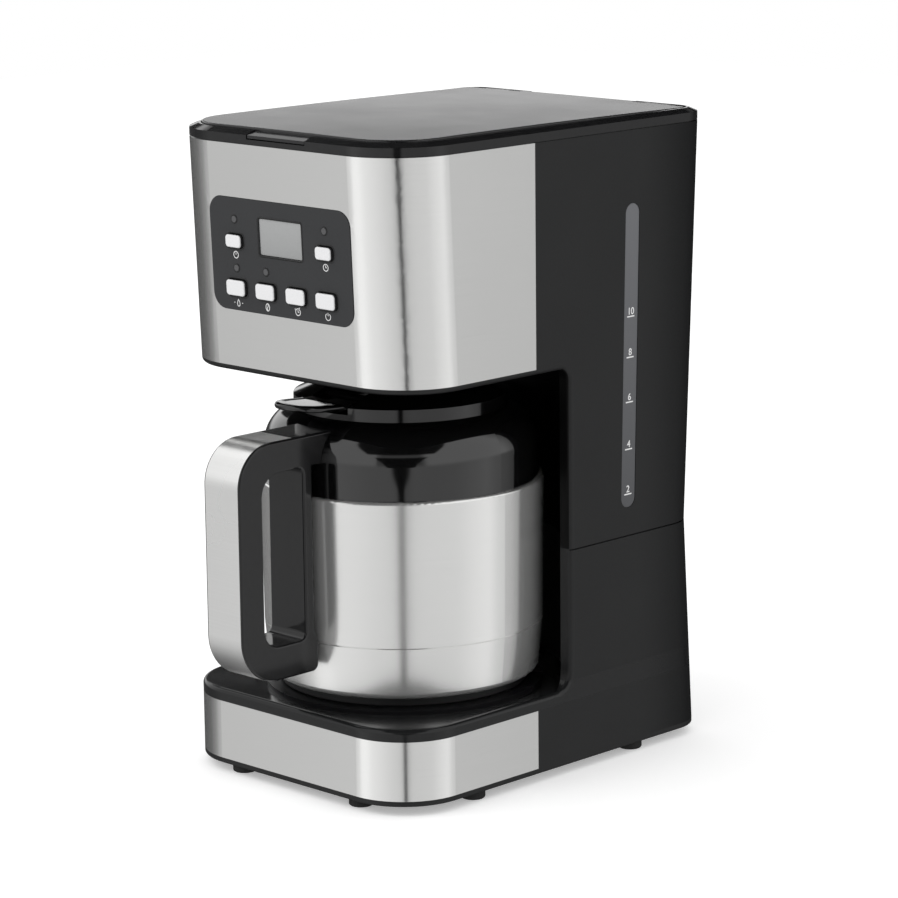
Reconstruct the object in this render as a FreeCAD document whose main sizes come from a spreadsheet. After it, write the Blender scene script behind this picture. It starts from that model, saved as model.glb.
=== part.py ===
"""Drip coffee maker with a steel vacuum carafe, as a parametric document.

Millimetres, +Z up. The origin is the middle of the footprint on the table.
The front faces -Y, and the water gauge is on the +X side.
"""
import FreeCAD, Part
import math
import os
import re

import Sketcher
from FreeCAD import Placement, Rotation, Vector

doc = FreeCAD.newDocument("drip_coffee_maker")

# Driving dimensions, in millimetres and degrees
SIZES = {
    # outside of the housing
    "body_width": 175.0, "body_depth": 236.0, "corner_radius": 36.0, "back_corner_radius": 22.0,
    "top_corner_radius": 17.0, "seam_line": 0.8, "seam_depth": 1.2,
    "wall": 2.5, "edge_radius": 2.6, "waist": 7.0, "head_lean": 2.43,
    "foot_height": 5.0, "foot_radius": 6.5, "foot_edge": 1.2,
    "foot_front_x": 44.5, "foot_front_setback": 10.0, "foot_side_inset": 9.0,
    "foot_middle_setback": 58.0, "foot_rear_setback": 181.0,
    "pan_height": 3.0, "pan_edge": 1.0, "base_band_height": 31.5, "deck_rim_height": 6.5,
    "deck_thickness": 5.0, "lower_housing_height": 114.0, "bay_height": 172.5,
    "head_lip": 3.0, "head_floor": 3.5, "head_band_height": 117.0,
    "band_thickness": 0.9, "band_gap": 0.1, "band_length": 98.5,
    # carafe bay
    "cheek_setback": 124.0, "bay_radius": 95.0, "bay_depth": 168.0,
    "bay_low_radius": 10.0, "bay_high_radius": 6.0,
    "rest_radius": 74.0, "rest_groove": 6.5, "rest_groove_depth": 2.5, "rest_rise": 0.3,
    # top rim and lid
    "rim_height": 7.0, "rim_width": 6.0, "rim_bevel": 2.0, "rim_bevel_width": 4.8, "rim_line": 0.7,
    "rim_line_depth": 0.9, "rim_ledge": 6.0, "rim_ledge_height": 2.2, "rear_gap_width": 79.0,
    "rear_gap_depth": 2.0,
    "lid_gap": 0.6, "lid_seat": 0.2, "lid_edge_height": 4.9, "lid_crown_radius": 9000.0,
    "lid_crown_shift": 40.0, "lid_rise": 1.3, "lid_edge": 0.8, "lid_skin": 3.0, "lid_skirt": 2.6,
    "tab_width": 42.0, "tab_thickness": 1.6, "tab_rise": 1.9, "tab_setback": 0.3,
    "hinge_pin_radius": 1.4, "hinge_pin_length": 22.0, "hinge_spread": 46.0,
    "hinge_lug_width": 8.0, "hinge_lug_gap": 0.5, "pin_clearance": 0.05,
    # control panel, measured along the leaning face
    "panel_drop": 57.5, "panel_width": 104.0, "panel_height": 59.0, "panel_corner": 8.5,
    "panel_thickness": 2.5, "panel_proud": 0.4, "panel_fit": 0.2,
    "display_width": 31.5, "display_height": 19.0, "display_u": 0.6, "display_v": 10.8,
    "display_corner": 1.0, "lens_thickness": 1.2, "lens_sunk": 0.5,
    "small_button_width": 11.2, "small_button_height": 6.6, "small_button_v": 7.0,
    "large_button_width": 13.6, "large_button_height": 8.1, "large_button_v": -17.5,
    "button_outer_u": 33.4, "button_inner_u": 11.3, "button_corner": 1.9, "button_edge": 0.8,
    "button_proud": 2.2, "button_fit": 0.35, "button_flange": 1.1, "button_flange_depth": 1.2,
    "button_stem_radius": 1.6, "button_travel": 1.2, "button_back_gap": 0.15,
    "led_radius": 1.7, "led_fit": 0.1, "led_top_v": 18.3, "led_low_v": -7.2, "led_proud": 0.3,
    "switch_size": 6.0, "switch_height": 3.5, "board_depth": 12.5, "board_thickness": 1.6,
    "board_margin": 3.5, "pillar_radius": 3.0, "pillar_inset": 8.0, "pillar_low_v": -4.5,
    "pillar_high_v": 20.5, "screw_radius": 1.5, "screw_head_radius": 2.8, "screw_head_height": 2.0,
    "screw_bite": 8.0, "screw_fit": 0.05, "display_bezel": 2.0,
    # water gauge on the right side
    "gauge_setback": 171.5, "gauge_low": 129.0, "gauge_length": 163.0, "gauge_width": 11.0,
    "gauge_lean": 1.4, "gauge_flange": 2.0, "gauge_flange_thickness": 1.6, "gauge_fit": 0.12,
    "gauge_sunk": 0.3,
    # water path
    "tank_wall": 2.0, "tank_lift": 6.0, "tank_side_gap": 2.2, "tank_gap": 0.5, "tray_gap": 0.6,
    "riser_gap": 1.45, "tray_depth": 5.5, "tray_plate": 2.5, "tray_inset": 4.4, "tray_wall": 2.5,
    "fill_margin": 8.0, "outlet_x": 42.0, "outlet_from_back": 38.0, "spigot_radius": 6.0,
    "spigot_bore": 2.6, "spigot_length": 10.0, "valve_radius": 8.5, "valve_length": 26.0,
    "valve_socket": 7.0, "valve_chamber": 4.2, "valve_ball": 3.2, "ball_travel": 2.4,
    "cage_pin": 0.8, "nipple_radius": 3.4, "nipple_bore": 2.2, "nipple_length": 10.0,
    "hose_wall": 1.6, "hose_fit": 0.05, "hose_bend": 24.0, "hose_climb": 48.0,
    "heater_radius": 42.0, "heater_width": 18.0, "heater_height": 14.0, "heater_leg": 61.0,
    "heater_drop": 10.0, "heater_lug": 11.0, "heater_lug_setback": 10.0,
    "thermostat_radius": 8.0, "thermostat_height": 6.0, "fuse_radius": 2.4, "fuse_length": 16.0,
    "riser_inset": 21.5, "riser_setback": 186.0, "seal_height": 2.6, "seal_wall": 2.0, "seal_gap": 0.3,
    "power_board_width": 56.0, "power_board_depth": 38.0, "power_board_lift": 4.0,
    "power_board_from_back": 14.0,
    "gland_x": 50.0, "gland_lift": 18.0, "gland_bore": 3.6, "gland_radius": 6.0,
    "gland_flange_radius": 9.0, "gland_flange": 3.0, "gland_length": 12.0, "gland_fit": 0.1,
    "base_screw_x": 58.0, "base_screw_front": 30.0, "base_screw_back": 7.0, "boss_radius": 5.0,
    "rear_boss_height": 24.0, "vent_length": 46.0, "vent_width": 3.0, "vent_pitch": 8.0,
    # brewing parts
    "well_radius": 62.0, "well_wall": 2.5, "basket_radius": 60.0, "basket_flange": 64.5,
    "basket_flange_thickness": 1.5, "basket_wall": 2.0, "basket_low_radius": 33.0,
    "basket_foot_lift": 19.0, "spout_radius": 12.0, "spout_wall": 2.4, "spout_drop": 5.5,
    "spout_floor": 2.2, "spout_hole": 5.0, "floor_hole": 22.0,
    "bridge_lift": 13.0, "bridge_thickness": 2.0, "bridge_width": 6.0,
    "stop_stem_radius": 3.5, "stop_disc_radius": 8.0, "stop_disc": 2.0, "stop_seal": 1.0,
    "stop_pin_radius": 1.8, "stop_pin_fit": 0.08, "stop_pin_over": 4.0, "stop_stem_over": 0.8,
    "stop_spring_radius": 4.2, "stop_spring_wire": 0.7, "stop_spring_turns": 4.0,
    "spring_end_gap": 0.25,
    "mesh_gap": 0.6, "mesh_wall": 0.8, "mesh_rim": 2.6, "mesh_rim_height": 1.0, "mesh_lift": 4.0,
    "shower_radius": 23.0, "shower_thickness": 2.4, "shower_hole": 1.3, "shower_ring": 15.0,
    "shower_holes": 8.0, "duct_width": 10.8, "duct_over": 1.4,
    # vacuum carafe, heights measured above its foot
    "carafe_setback": 87.0, "foot_ring_radius": 66.5, "foot_ring_inner": 50.0, "foot_ring_hollow": 2.0,
    "support_radius": 35.0, "support_bore": 25.0, "cup_lift": 5.2, "cup_radius": 72.1,
    "cup_corner": 3.5, "cup_height": 27.7, "cup_top_radius": 74.6, "seam_gap": 0.8, "sleeve": 4.0,
    "sheet": 0.8, "sheet_fit": 0.1, "shell_top_radius": 75.6, "shell_height": 76.9,
    "shell_lip": 3.6, "shell_lip_radius": 1.2, "collar_radius": 73.0, "collar_height": 31.6,
    "collar_corner": 20.0, "collar_slope": 6.3, "collar_wall": 2.5, "neck_radius": 44.6,
    "neck_drop": 16.0, "neck_fit": 0.3, "flask_radius": 66.5, "flask_low_radius": 64.0,
    "flask_lift": 9.0, "flask_corner": 10.0, "flask_shoulder": 30.0, "flask_neck_drop": 5.8,
    "pour_lip_radius": 10.0, "pour_lip_reach": 71.0, "pour_lip_drop": 22.0, "pour_groove": 6.0,
    "carafe_lid_radius": 57.0, "carafe_lid_height": 12.2, "carafe_lid_band": 6.6,
    "carafe_lid_edge": 14.0, "carafe_lid_gap": 0.35, "carafe_lid_skin": 3.0,
    "dish_radius": 30.0, "dish_drop": 3.5, "brew_hole": 7.0,
    "plug_fit": 0.8, "plug_wall": 2.4, "plug_depth": 18.5, "plug_floor": 2.4, "port_radius": 12.0,
    "gasket_height": 4.0, "gasket_depth": 1.0, "gasket_drop": 6.0, "gasket_squeeze": 0.3,
    "pour_valve_radius": 15.0, "pour_valve_disc": 2.2, "pour_tube_radius": 5.0,
    "pour_tube_bore": 3.4, "pour_flange_radius": 10.0, "pour_flange": 2.0, "pour_flange_lift": 7.5,
    "pour_tube_over": 8.0, "pour_seat_gap": 0.2, "pour_spring_radius": 7.2, "pour_spring_wire": 0.8,
    "pour_spring_turns": 4.0,
    "lever_width": 31.0, "lever_reach": 84.5, "lever_thickness": 2.6, "lever_root_lift": 6.0,
    "lever_tip_lift": 10.8, "lever_tip_thickness": 2.4, "lever_pivot_reach": 38.0, "lever_pivot_lift": 7.0,
    "lever_pin_radius": 1.5, "lever_pin_length": 42.0, "lever_slot_gap": 0.6,
    "lever_barrel": 3.4, "lever_inner_reach": 26.0, "fork_width": 3.0, "fork_thickness": 2.2,
    "fork_gap": 0.5, "fork_stop": 3.0, "lug_width": 4.0,
    "handle_reach": 129.0, "handle_width": 27.0, "handle_top": 145.2, "handle_bottom": 19.7,
    "handle_top_bend": 22.0, "handle_low_bend": 25.0, "grip_thickness": 16.0,
    "grip_opening_top": 128.7, "grip_opening_low": 37.7, "grip_bar_reach": 84.4,
    "grip_bar_thickness": 6.2, "grip_foot_reach": 75.8, "grip_bend_top": 12.0, "grip_bend_low": 10.0,
    "grip_bend_bar": 4.0, "grip_edge": 1.3, "strap_thickness": 1.2, "strap_margin": 1.3,
    "strap_end_reach": 91.0, "arm_gap": 0.15, "bracket_height": 10.0, "bracket_x": 7.0,
    "bracket_lift": 21.5, "tongue_x": 5.0, "tongue_height": 4.0, "tongue_length": 14.0,
    "tongue_fit": 0.1, "handle_screw_radius": 1.6, "handle_screw_head": 3.0,
}

# Positions worked out from the driving dimensions
PLACES = {
    "front_y": "(handle_reach - carafe_setback - body_depth) / 2",
    "back_y": "front_y + body_depth",
    "carafe_y": "front_y + carafe_setback",
    "cheek_y": "front_y + cheek_setback",
    "band_end_y": "front_y + band_length",
    "bay_y": "front_y + bay_depth - bay_radius",
    "base_z": "foot_height + pan_height",
    "base_band_z": "base_z + base_band_height",
    "deck_z": "base_band_z + deck_rim_height",
    "seam_z": "base_z + lower_housing_height",
    "head_z": "deck_z + bay_height",
    "head_band_z": "head_z + head_lip",
    "rim_z": "head_band_z + head_band_height",
    "rim_top_z": "rim_z + rim_height",
    "rim_ridge_z": "rim_top_z - rim_bevel",
    "face_lean": "head_lean * 1 deg",
    "seam_front_y": "front_y + tan(face_lean) * (rim_z - seam_z)",
    "seam_back_y": "back_y - waist",
    "recess": "band_thickness + band_gap",
    "shell": "wall + recess",
    "rest_z": "deck_z + rest_rise",
    "ledge_z": "rim_z + rim_ledge_height",
    "lid_z": "ledge_z + lid_seat",
    "lid_top_z": "lid_z + lid_edge_height + lid_rise",
    "lid_inset": "rim_width + lid_gap",
    "tab_low_z": "rim_ridge_z - tab_thickness",
    "hinge_y": "back_y - lid_inset - lid_edge_height / 2",
    "hinge_z": "lid_z + lid_edge_height / 2",
    "panel_z": "rim_z - panel_drop",
    "panel_y": "front_y + tan(face_lean) * panel_drop",
    "board_top": "0 - board_depth",
    "tray_z": "rim_z - tray_depth",
    "tank_z": "seam_z + tank_lift",
    "tank_top_z": "tray_z - tray_plate - tray_gap",
    "tank_side": "body_width / 2 - shell - tank_side_gap",
    "tank_left": "hose_radius + riser_gap - riser_x",
    "tank_back_y": "seam_back_y - shell - tank_gap",
    "tank_front_y": "cheek_y + wall + tank_gap",
    "tank_curve": "bay_radius + wall + tank_gap",
    "outlet_y": "back_y - outlet_from_back",
    "spigot_z": "tank_z - spigot_length",
    "valve_top_z": "spigot_z + valve_socket",
    "valve_z": "valve_top_z - valve_length",
    "ball_z": "spigot_z - sqrt(valve_ball^2 - spigot_bore^2) - ball_travel - seal_gap",
    "nipple_z": "valve_z - nipple_length",
    "deck_under_z": "deck_z - deck_thickness",
    "heater_top_z": "deck_under_z - heater_drop",
    "heater_z": "heater_top_z - heater_height / 2",
    "heater_end_y": "carafe_y + heater_leg",
    "riser_x": "body_width / 2 - riser_inset",
    "riser_y": "front_y + riser_setback",
    "hose_radius": "nipple_radius + hose_fit + hose_wall",
    "seal_z": "tray_z + seal_height",
    "duct_z": "seal_z + seal_gap",
    "lid_ceiling_z": "lid_z + lid_edge_height - lid_skin",
    "spout_z": "head_z - spout_drop",
    "seat_z": "spout_z + spout_floor",
    "stop_stem_z": "carafe_top_z + stop_stem_over",
    "stop_disc_top_z": "seat_z + stop_seal + stop_disc",
    "bridge_z": "spout_z + bridge_lift",
    "basket_low_z": "head_z + basket_foot_lift",
    "cup_z": "rest_z + cup_lift",
    "cup_top_z": "cup_z + cup_height",
    "shell_z": "cup_top_z + seam_gap",
    "shell_top_z": "shell_z + shell_height",
    "collar_z": "shell_top_z + sheet_fit",
    "collar_top_z": "collar_z + collar_height",
    "carafe_lid_z": "collar_top_z + collar_slope + carafe_lid_gap",
    "flask_top_z": "carafe_lid_z - flask_neck_drop",
    "carafe_top_z": "carafe_lid_z + carafe_lid_height",
    "plug_radius": "neck_radius - plug_fit",
    "plug_z": "carafe_lid_z - plug_depth",
    "plug_floor_z": "plug_z + plug_floor",
    "pour_valve_z": "plug_floor_z + pour_seat_gap",
    "pour_flange_z": "pour_valve_z + pour_flange_lift",
    "lid_under_z": "carafe_top_z - dish_drop - carafe_lid_skin",
    "lever_pivot_z": "carafe_lid_z + lever_pivot_lift",
    "fork_z": "pour_flange_z - fork_gap - fork_thickness",
    "handle_top_z": "rest_z + handle_top",
    "handle_low_z": "rest_z + handle_bottom",
    "opening_top_z": "rest_z + grip_opening_top",
    "opening_low_z": "rest_z + grip_opening_low",
    "bracket_z": "rest_z + bracket_lift",
    "tongue_z": "bracket_z + (bracket_height - tongue_height) / 2",
}

ALIASES = {alias: f"Sizes.{alias}" for alias in SIZES} | {alias: f"Places.{alias}" for alias in PLACES}
PARTS = []


# Sheets and formulas
def cells(formula):
    """Give a formula of bare size names as one that points at the sheets' cells."""
    return re.sub(r"[a-z_]\w*", lambda word: ALIASES.get(word.group(), word.group()), str(formula))


def make_sheet(name, rows):
    """Add a sheet with one aliased cell for each row."""
    made = doc.addObject("Spreadsheet::Sheet", name)
    for row, (alias, content) in enumerate(rows.items(), start=1):
        made.set(f"A{row}", alias.replace("_", " "))
        made.set(f"B{row}", content)
        made.setAlias(f"B{row}", alias)
    return made


sizes_sheet = make_sheet("Sizes", {alias: str(value) for alias, value in SIZES.items()})
make_sheet("Places", {alias: "=" + cells(formula) for alias, formula in PLACES.items()})
doc.recompute()


def number(formula):
    """Give the present value of a formula as a plain number."""
    value = sizes_sheet.evalExpression(cells(formula))
    return float(getattr(value, "Value", value))


def bind(item, **formulas):
    """Tie properties of an object to formulas of the sizes."""
    for prop, formula in formulas.items():
        item.setExpression(prop, cells(formula))


def place(item, x="0", y="0", z="0", turn=None):
    """Tie an object's position, and its turn about X in degrees, to formulas."""
    if turn is not None:
        item.Placement = Placement(Vector(), Rotation(Vector(1, 0, 0), 90))
        item.setExpression("Placement.Rotation.Angle", cells(turn))
    for axis, formula in zip("xyz", (x, y, z)):
        item.setExpression(f"Placement.Base.{axis}", cells(formula))
    return item


# Primitives and booleans
def block(name, x, y, z):
    """Add a box from its lower and upper limits along each axis."""
    made = doc.addObject("Part::Box", name)
    for side, (low, high) in zip(("Length", "Width", "Height"), (x, y, z)):
        bind(made, **{side: f"({high}) - ({low})"})
    return place(made, x[0], y[0], z[0])


AXIS_TURNS = {
    "X": Rotation(Vector(0, 1, 0), 90),
    "Y": Rotation(Vector(1, 0, 0), -90),
    "Z": Rotation(),
}


def rod(name, radius, axis, span, x="0", y="0", z="0"):
    """Add a cylinder along one axis between two limits on that axis."""
    made = doc.addObject("Part::Cylinder", name)
    bind(made, Radius=radius, Height=f"({span[1]}) - ({span[0]})")
    made.Placement = Placement(Vector(), AXIS_TURNS[axis])
    start = {"X": x, "Y": y, "Z": z} | {axis: span[0]}
    return place(made, start["X"], start["Y"], start["Z"])


def cut(name, base, *tools):
    """Take tools away from a base, one after another."""
    for count, tool in enumerate(tools):
        made = doc.addObject("Part::Cut", f"{name}_cut_{count}")
        made.Base = base
        made.Tool = tool
        base = made
    return base


def fuse(name, *shapes):
    """Join shapes into one solid."""
    made = doc.addObject("Part::MultiFuse", name)
    made.Shapes = list(shapes)
    made.Refine = True
    return made


def common(name, *shapes):
    """Keep what all the shapes share."""
    made = doc.addObject("Part::MultiCommon", name)
    made.Shapes = list(shapes)
    return made


def group(name, shapes):
    """Hold separate solids together as one object."""
    made = doc.addObject("Part::Compound", name)
    made.Links = list(shapes)
    return made


def round_edges(name, base, radius, wanted):
    """Round the edges of a base whose middle point passes a test."""
    doc.recompute()
    made = doc.addObject("Part::Fillet", name)
    made.Base = base
    size = number(radius)
    made.Edges = [
        (index, size, size) for index, edge in enumerate(base.Shape.Edges, start=1) if wanted(edge)
    ]
    return made


def middle(edge):
    """Give the point half way along an edge."""
    return edge.valueAt((edge.FirstParameter + edge.LastParameter) / 2)


def near(first, second, tolerance=0.01):
    """Tell whether two lengths are the same."""
    return abs(first - second) < tolerance


# Sketches
def corner_arc(before, corner, after, radius):
    """Give where a rounded corner starts and ends, and its centre."""
    back = (before - corner).normalize()
    ahead = (after - corner).normalize()
    half = back.getAngle(ahead) / 2
    reach = radius / math.tan(half)
    centre = corner + (back + ahead).normalize() * (radius / math.sin(half))
    return corner + back * reach, corner + ahead * reach, centre


def dimension(sketch, kind, target, formula):
    """Add a dimension to a sketch and tie it to a formula."""
    index = sketch.addConstraint(Sketcher.Constraint(kind, *target, number(formula)))
    sketch.setExpression(f"Constraints[{index}]", cells(formula))


def pin_point(sketch, geometry, end, corner):
    """Fix a point of a sketch at a corner's two coordinates."""
    dimension(sketch, "DistanceX", (-1, 1, geometry, end), corner[0])
    dimension(sketch, "DistanceY", (-1, 1, geometry, end), corner[1])


def draw_outline(sketch, corners):
    """Draw a closed outline of straight sides; a third value at a corner rounds it."""
    points = [Vector(number(corner[0]), number(corner[1]), 0) for corner in corners]
    count = len(points)
    arcs = []
    for i, corner in enumerate(corners):
        if len(corner) == 2:
            arcs.append((points[i], points[i], None))
        else:
            arcs.append(corner_arc(points[i - 1], points[i], points[(i + 1) % count], number(corner[2])))
    sides = [
        sketch.addGeometry(Part.LineSegment(arcs[i][1], arcs[(i + 1) % count][0])) for i in range(count)
    ]
    for i, corner in enumerate(corners):
        start, end, centre = arcs[i]
        if centre is None:
            sketch.addConstraint(Sketcher.Constraint("Coincident", sides[i - 1], 2, sides[i], 1))
            pin_point(sketch, sides[i], 1, corner)
            continue
        left_turn = (points[i] - points[i - 1]).cross(points[(i + 1) % count] - points[i]).z > 0
        first, last = (start, end) if left_turn else (end, start)
        angles = [math.atan2((end_point - centre).y, (end_point - centre).x) for end_point in (first, last)]
        circle = Part.Circle(centre, Vector(0, 0, 1), number(corner[2]))
        arc = sketch.addGeometry(Part.ArcOfCircle(circle, *angles))
        entry, leave = (1, 2) if left_turn else (2, 1)
        sketch.addConstraint(Sketcher.Constraint("Tangent", sides[i - 1], 2, arc, entry))
        sketch.addConstraint(Sketcher.Constraint("Tangent", sides[i], 1, arc, leave))
        tip = sketch.addGeometry(Part.Point(points[i]), True)
        pin_point(sketch, tip, 1, corner)
        sketch.addConstraint(Sketcher.Constraint("PointOnObject", tip, 1, sides[i - 1]))
        sketch.addConstraint(Sketcher.Constraint("PointOnObject", tip, 1, sides[i]))
        dimension(sketch, "Radius", (arc,), corner[2])


def free_outline(name, corners, z):
    """Add a level outline at a height, for an extrusion or a loft."""
    sketch = doc.addObject("Sketcher::SketchObject", name)
    draw_outline(sketch, corners)
    return place(sketch, z=z)


def prism(name, corners, low, high):
    """Raise a level outline between two heights."""
    made = doc.addObject("Part::Extrusion", name)
    made.Base = free_outline(f"{name}_outline", corners, low)
    made.DirMode = "Normal"
    made.Solid = True
    bind(made, LengthFwd=f"({high}) - ({low})")
    return made


def loft(name, *sections):
    """Join level outlines, each given with its height, by straight walls."""
    made = doc.addObject("Part::Loft", name)
    made.Sections = [
        free_outline(f"{name}_outline_{count}", corners, z) for count, (corners, z) in enumerate(sections)
    ]
    made.Solid = True
    made.Ruled = True
    return made


def body_sketch(body, name, plane):
    """Add a sketch on one of a body's own origin planes."""
    sketch = body.newObject("Sketcher::SketchObject", name)
    support = next(item for item in body.Origin.OriginFeatures if item.Role == plane)
    sketch.AttachmentSupport = [(support, "")]
    sketch.MapMode = "FlatFace"
    return sketch


def turned(name, corners):
    """Turn a profile of radius and height about the carafe's axis."""
    body = doc.addObject("PartDesign::Body", name)
    sketch = body_sketch(body, f"{name}_profile", "XZ_Plane")
    draw_outline(sketch, corners)
    turn = body.newObject("PartDesign::Revolution", f"{name}_turn")
    turn.Profile = sketch
    turn.ReferenceAxis = (sketch, ["V_Axis"])
    turn.Angle = 360
    return place(body, y="carafe_y")


def side_slab(name, corners, width, hole=None):
    """Pad a side-view outline, drawn from the carafe's axis, evenly to both sides."""
    body = doc.addObject("PartDesign::Body", name)
    sketch = body_sketch(body, f"{name}_outline", "YZ_Plane")
    draw_outline(sketch, corners)
    if hole:
        draw_outline(sketch, hole)
    pad = body.newObject("PartDesign::Pad", f"{name}_pad")
    pad.Profile = sketch
    pad.SideType = "Symmetric"
    bind(pad, Length=width)
    return place(body, y="carafe_y")


def soften(body, name, radius, wanted):
    """Round the edges of a body whose middle point passes a test."""
    doc.recompute()
    base = body.Tip
    chosen = [f"Edge{i}" for i, edge in enumerate(base.Shape.Edges, start=1) if wanted(edge)]
    fillet = body.newObject("PartDesign::Fillet", name)
    fillet.Base = (base, chosen)
    bind(fillet, Radius=radius)
    body.Tip = fillet
    return body


def panel_slab(name, u, v, width, height, corner, low, high):
    """Pad a rounded plate on the leaning control panel, between two depths."""
    body = doc.addObject("PartDesign::Body", name)
    sketch = body_sketch(body, f"{name}_outline", "XY_Plane")
    left, right = f"{u} - ({width}) / 2", f"{u} + ({width}) / 2"
    under, over = f"{v} - ({height}) / 2", f"{v} + ({height}) / 2"
    draw_outline(sketch, [(left, under, corner), (right, under, corner),
                          (right, over, corner), (left, over, corner)])
    sketch.setExpression("AttachmentOffset.Base.z", cells(low))
    pad = body.newObject("PartDesign::Pad", f"{name}_pad")
    pad.Profile = sketch
    bind(pad, Length=f"({high}) - ({low})")
    return place(body, "0", "panel_y", "panel_z", turn="90 deg + face_lean")


def panel_rod(name, u, v, radius, low, high):
    """Add a pin that stands square to the leaning control panel."""
    made = doc.addObject("Part::Cylinder", name)
    bind(made, Radius=radius, Height=f"({high}) - ({low})")
    return place(made, u,
                 f"panel_y - ({v}) * sin(face_lean) - ({low}) * cos(face_lean)",
                 f"panel_z + ({v}) * cos(face_lean) - ({low}) * sin(face_lean)",
                 turn="90 deg + face_lean")


def node(label, item):
    """Name a finished piece and put it on the list of parts."""
    item.Label = label
    PARTS.append(item)
    return item


# Outlines that several pieces share
def house_outline(inset="0", front="front_y", back="back_y", corner="back_corner_radius"):
    """Give the housing's plan outline, drawn in by an inset."""
    side = f"(body_width / 2 - ({inset}))"
    fore, rear = f"corner_radius - ({inset})", f"{corner} - ({inset})"
    low, high = f"{front} + ({inset})", f"{back} - ({inset})"
    return [(f"-{side}", low, fore), (side, low, fore), (side, high, rear), (f"-{side}", high, rear)]


def top_outline(inset="0", back="back_y"):
    """Give the plan outline at the top of the housing, which has tighter rear corners."""
    return house_outline(inset, back=back, corner="top_corner_radius")


WIDE = "body_width"
ACROSS = (f"-{WIDE}", WIDE)


def bay_gap(prefix):
    """Give the tool that opens the front of the carafe bay, with rounded rear edges."""
    gap = block(f"{prefix}_gap", ACROSS, (f"front_y - {WIDE}", "cheek_y"), ("deck_z", "head_z"))

    def rear_edge(height):
        return lambda edge: near(middle(edge).y, number("cheek_y")) and near(middle(edge).z, number(height))

    low = round_edges(f"{prefix}_gap_low", gap, "bay_low_radius", rear_edge("deck_z"))
    return round_edges(f"{prefix}_gap_high", low, "bay_high_radius", rear_edge("head_z"))


def open_bay(prefix, outer):
    """Open the carafe bay in a housing: the front gap, its soft edges and the round back."""
    gapped = cut(f"{prefix}_gapped", outer, bay_gap(prefix))
    softened = round_edges(f"{prefix}_softened", gapped, "edge_radius", bay_edge)
    return cut(prefix, softened, rod(f"{prefix}_curve", "bay_radius", "Z", ("deck_z", "head_z"), y="bay_y"))


def column_space(name, low, high):
    """Give the hollow behind the bay's round back wall."""
    behind = block(f"{name}_behind", ACROSS, ("cheek_y + wall", "back_y"), (low, high))
    return cut(name, behind, rod(f"{name}_curve", "bay_radius + wall", "Z", (low, high), y="bay_y"))


def bay_edge(edge):
    """Tell whether an edge runs along the outside of the bay's opening."""
    point = middle(edge)
    box = edge.BoundBox
    in_bay = number("deck_z") - 0.01 < point.z < number("head_z") + 0.01
    if not in_bay or point.y > number("cheek_y") + 0.01:
        return False
    beside = near(box.XMin, box.XMax) and near(abs(point.x), number("body_width / 2"))
    level = near(box.ZMin, box.ZMax) and point.y < number("front_y + corner_radius")
    return beside or level


# Base: pan, feet, lower housing and its steel band
SCREW_SPOTS = [
    (f"{side}base_screw_x", depth)
    for side in ("-", "") for depth in ("front_y + base_screw_front", "back_y - base_screw_back")
]
FOOT_SPOTS = [
    (f"{side}({x})", f"front_y + {setback}")
    for side in ("-", "")
    for x, setback in (("foot_front_x", "foot_front_setback"),
                       ("body_width / 2 - foot_side_inset", "foot_middle_setback"),
                       ("body_width / 2 - foot_side_inset", "foot_rear_setback"))
]
POWER_POSTS = [
    (f"{side}(power_board_width / 2 - screw_head_radius)",
     f"back_y - waist - shell - power_board_from_back - {depth}")
    for side in ("-", "")
    for depth in ("screw_head_radius", "(power_board_depth - screw_head_radius)")
]
VENT_COUNT = 5


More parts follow.
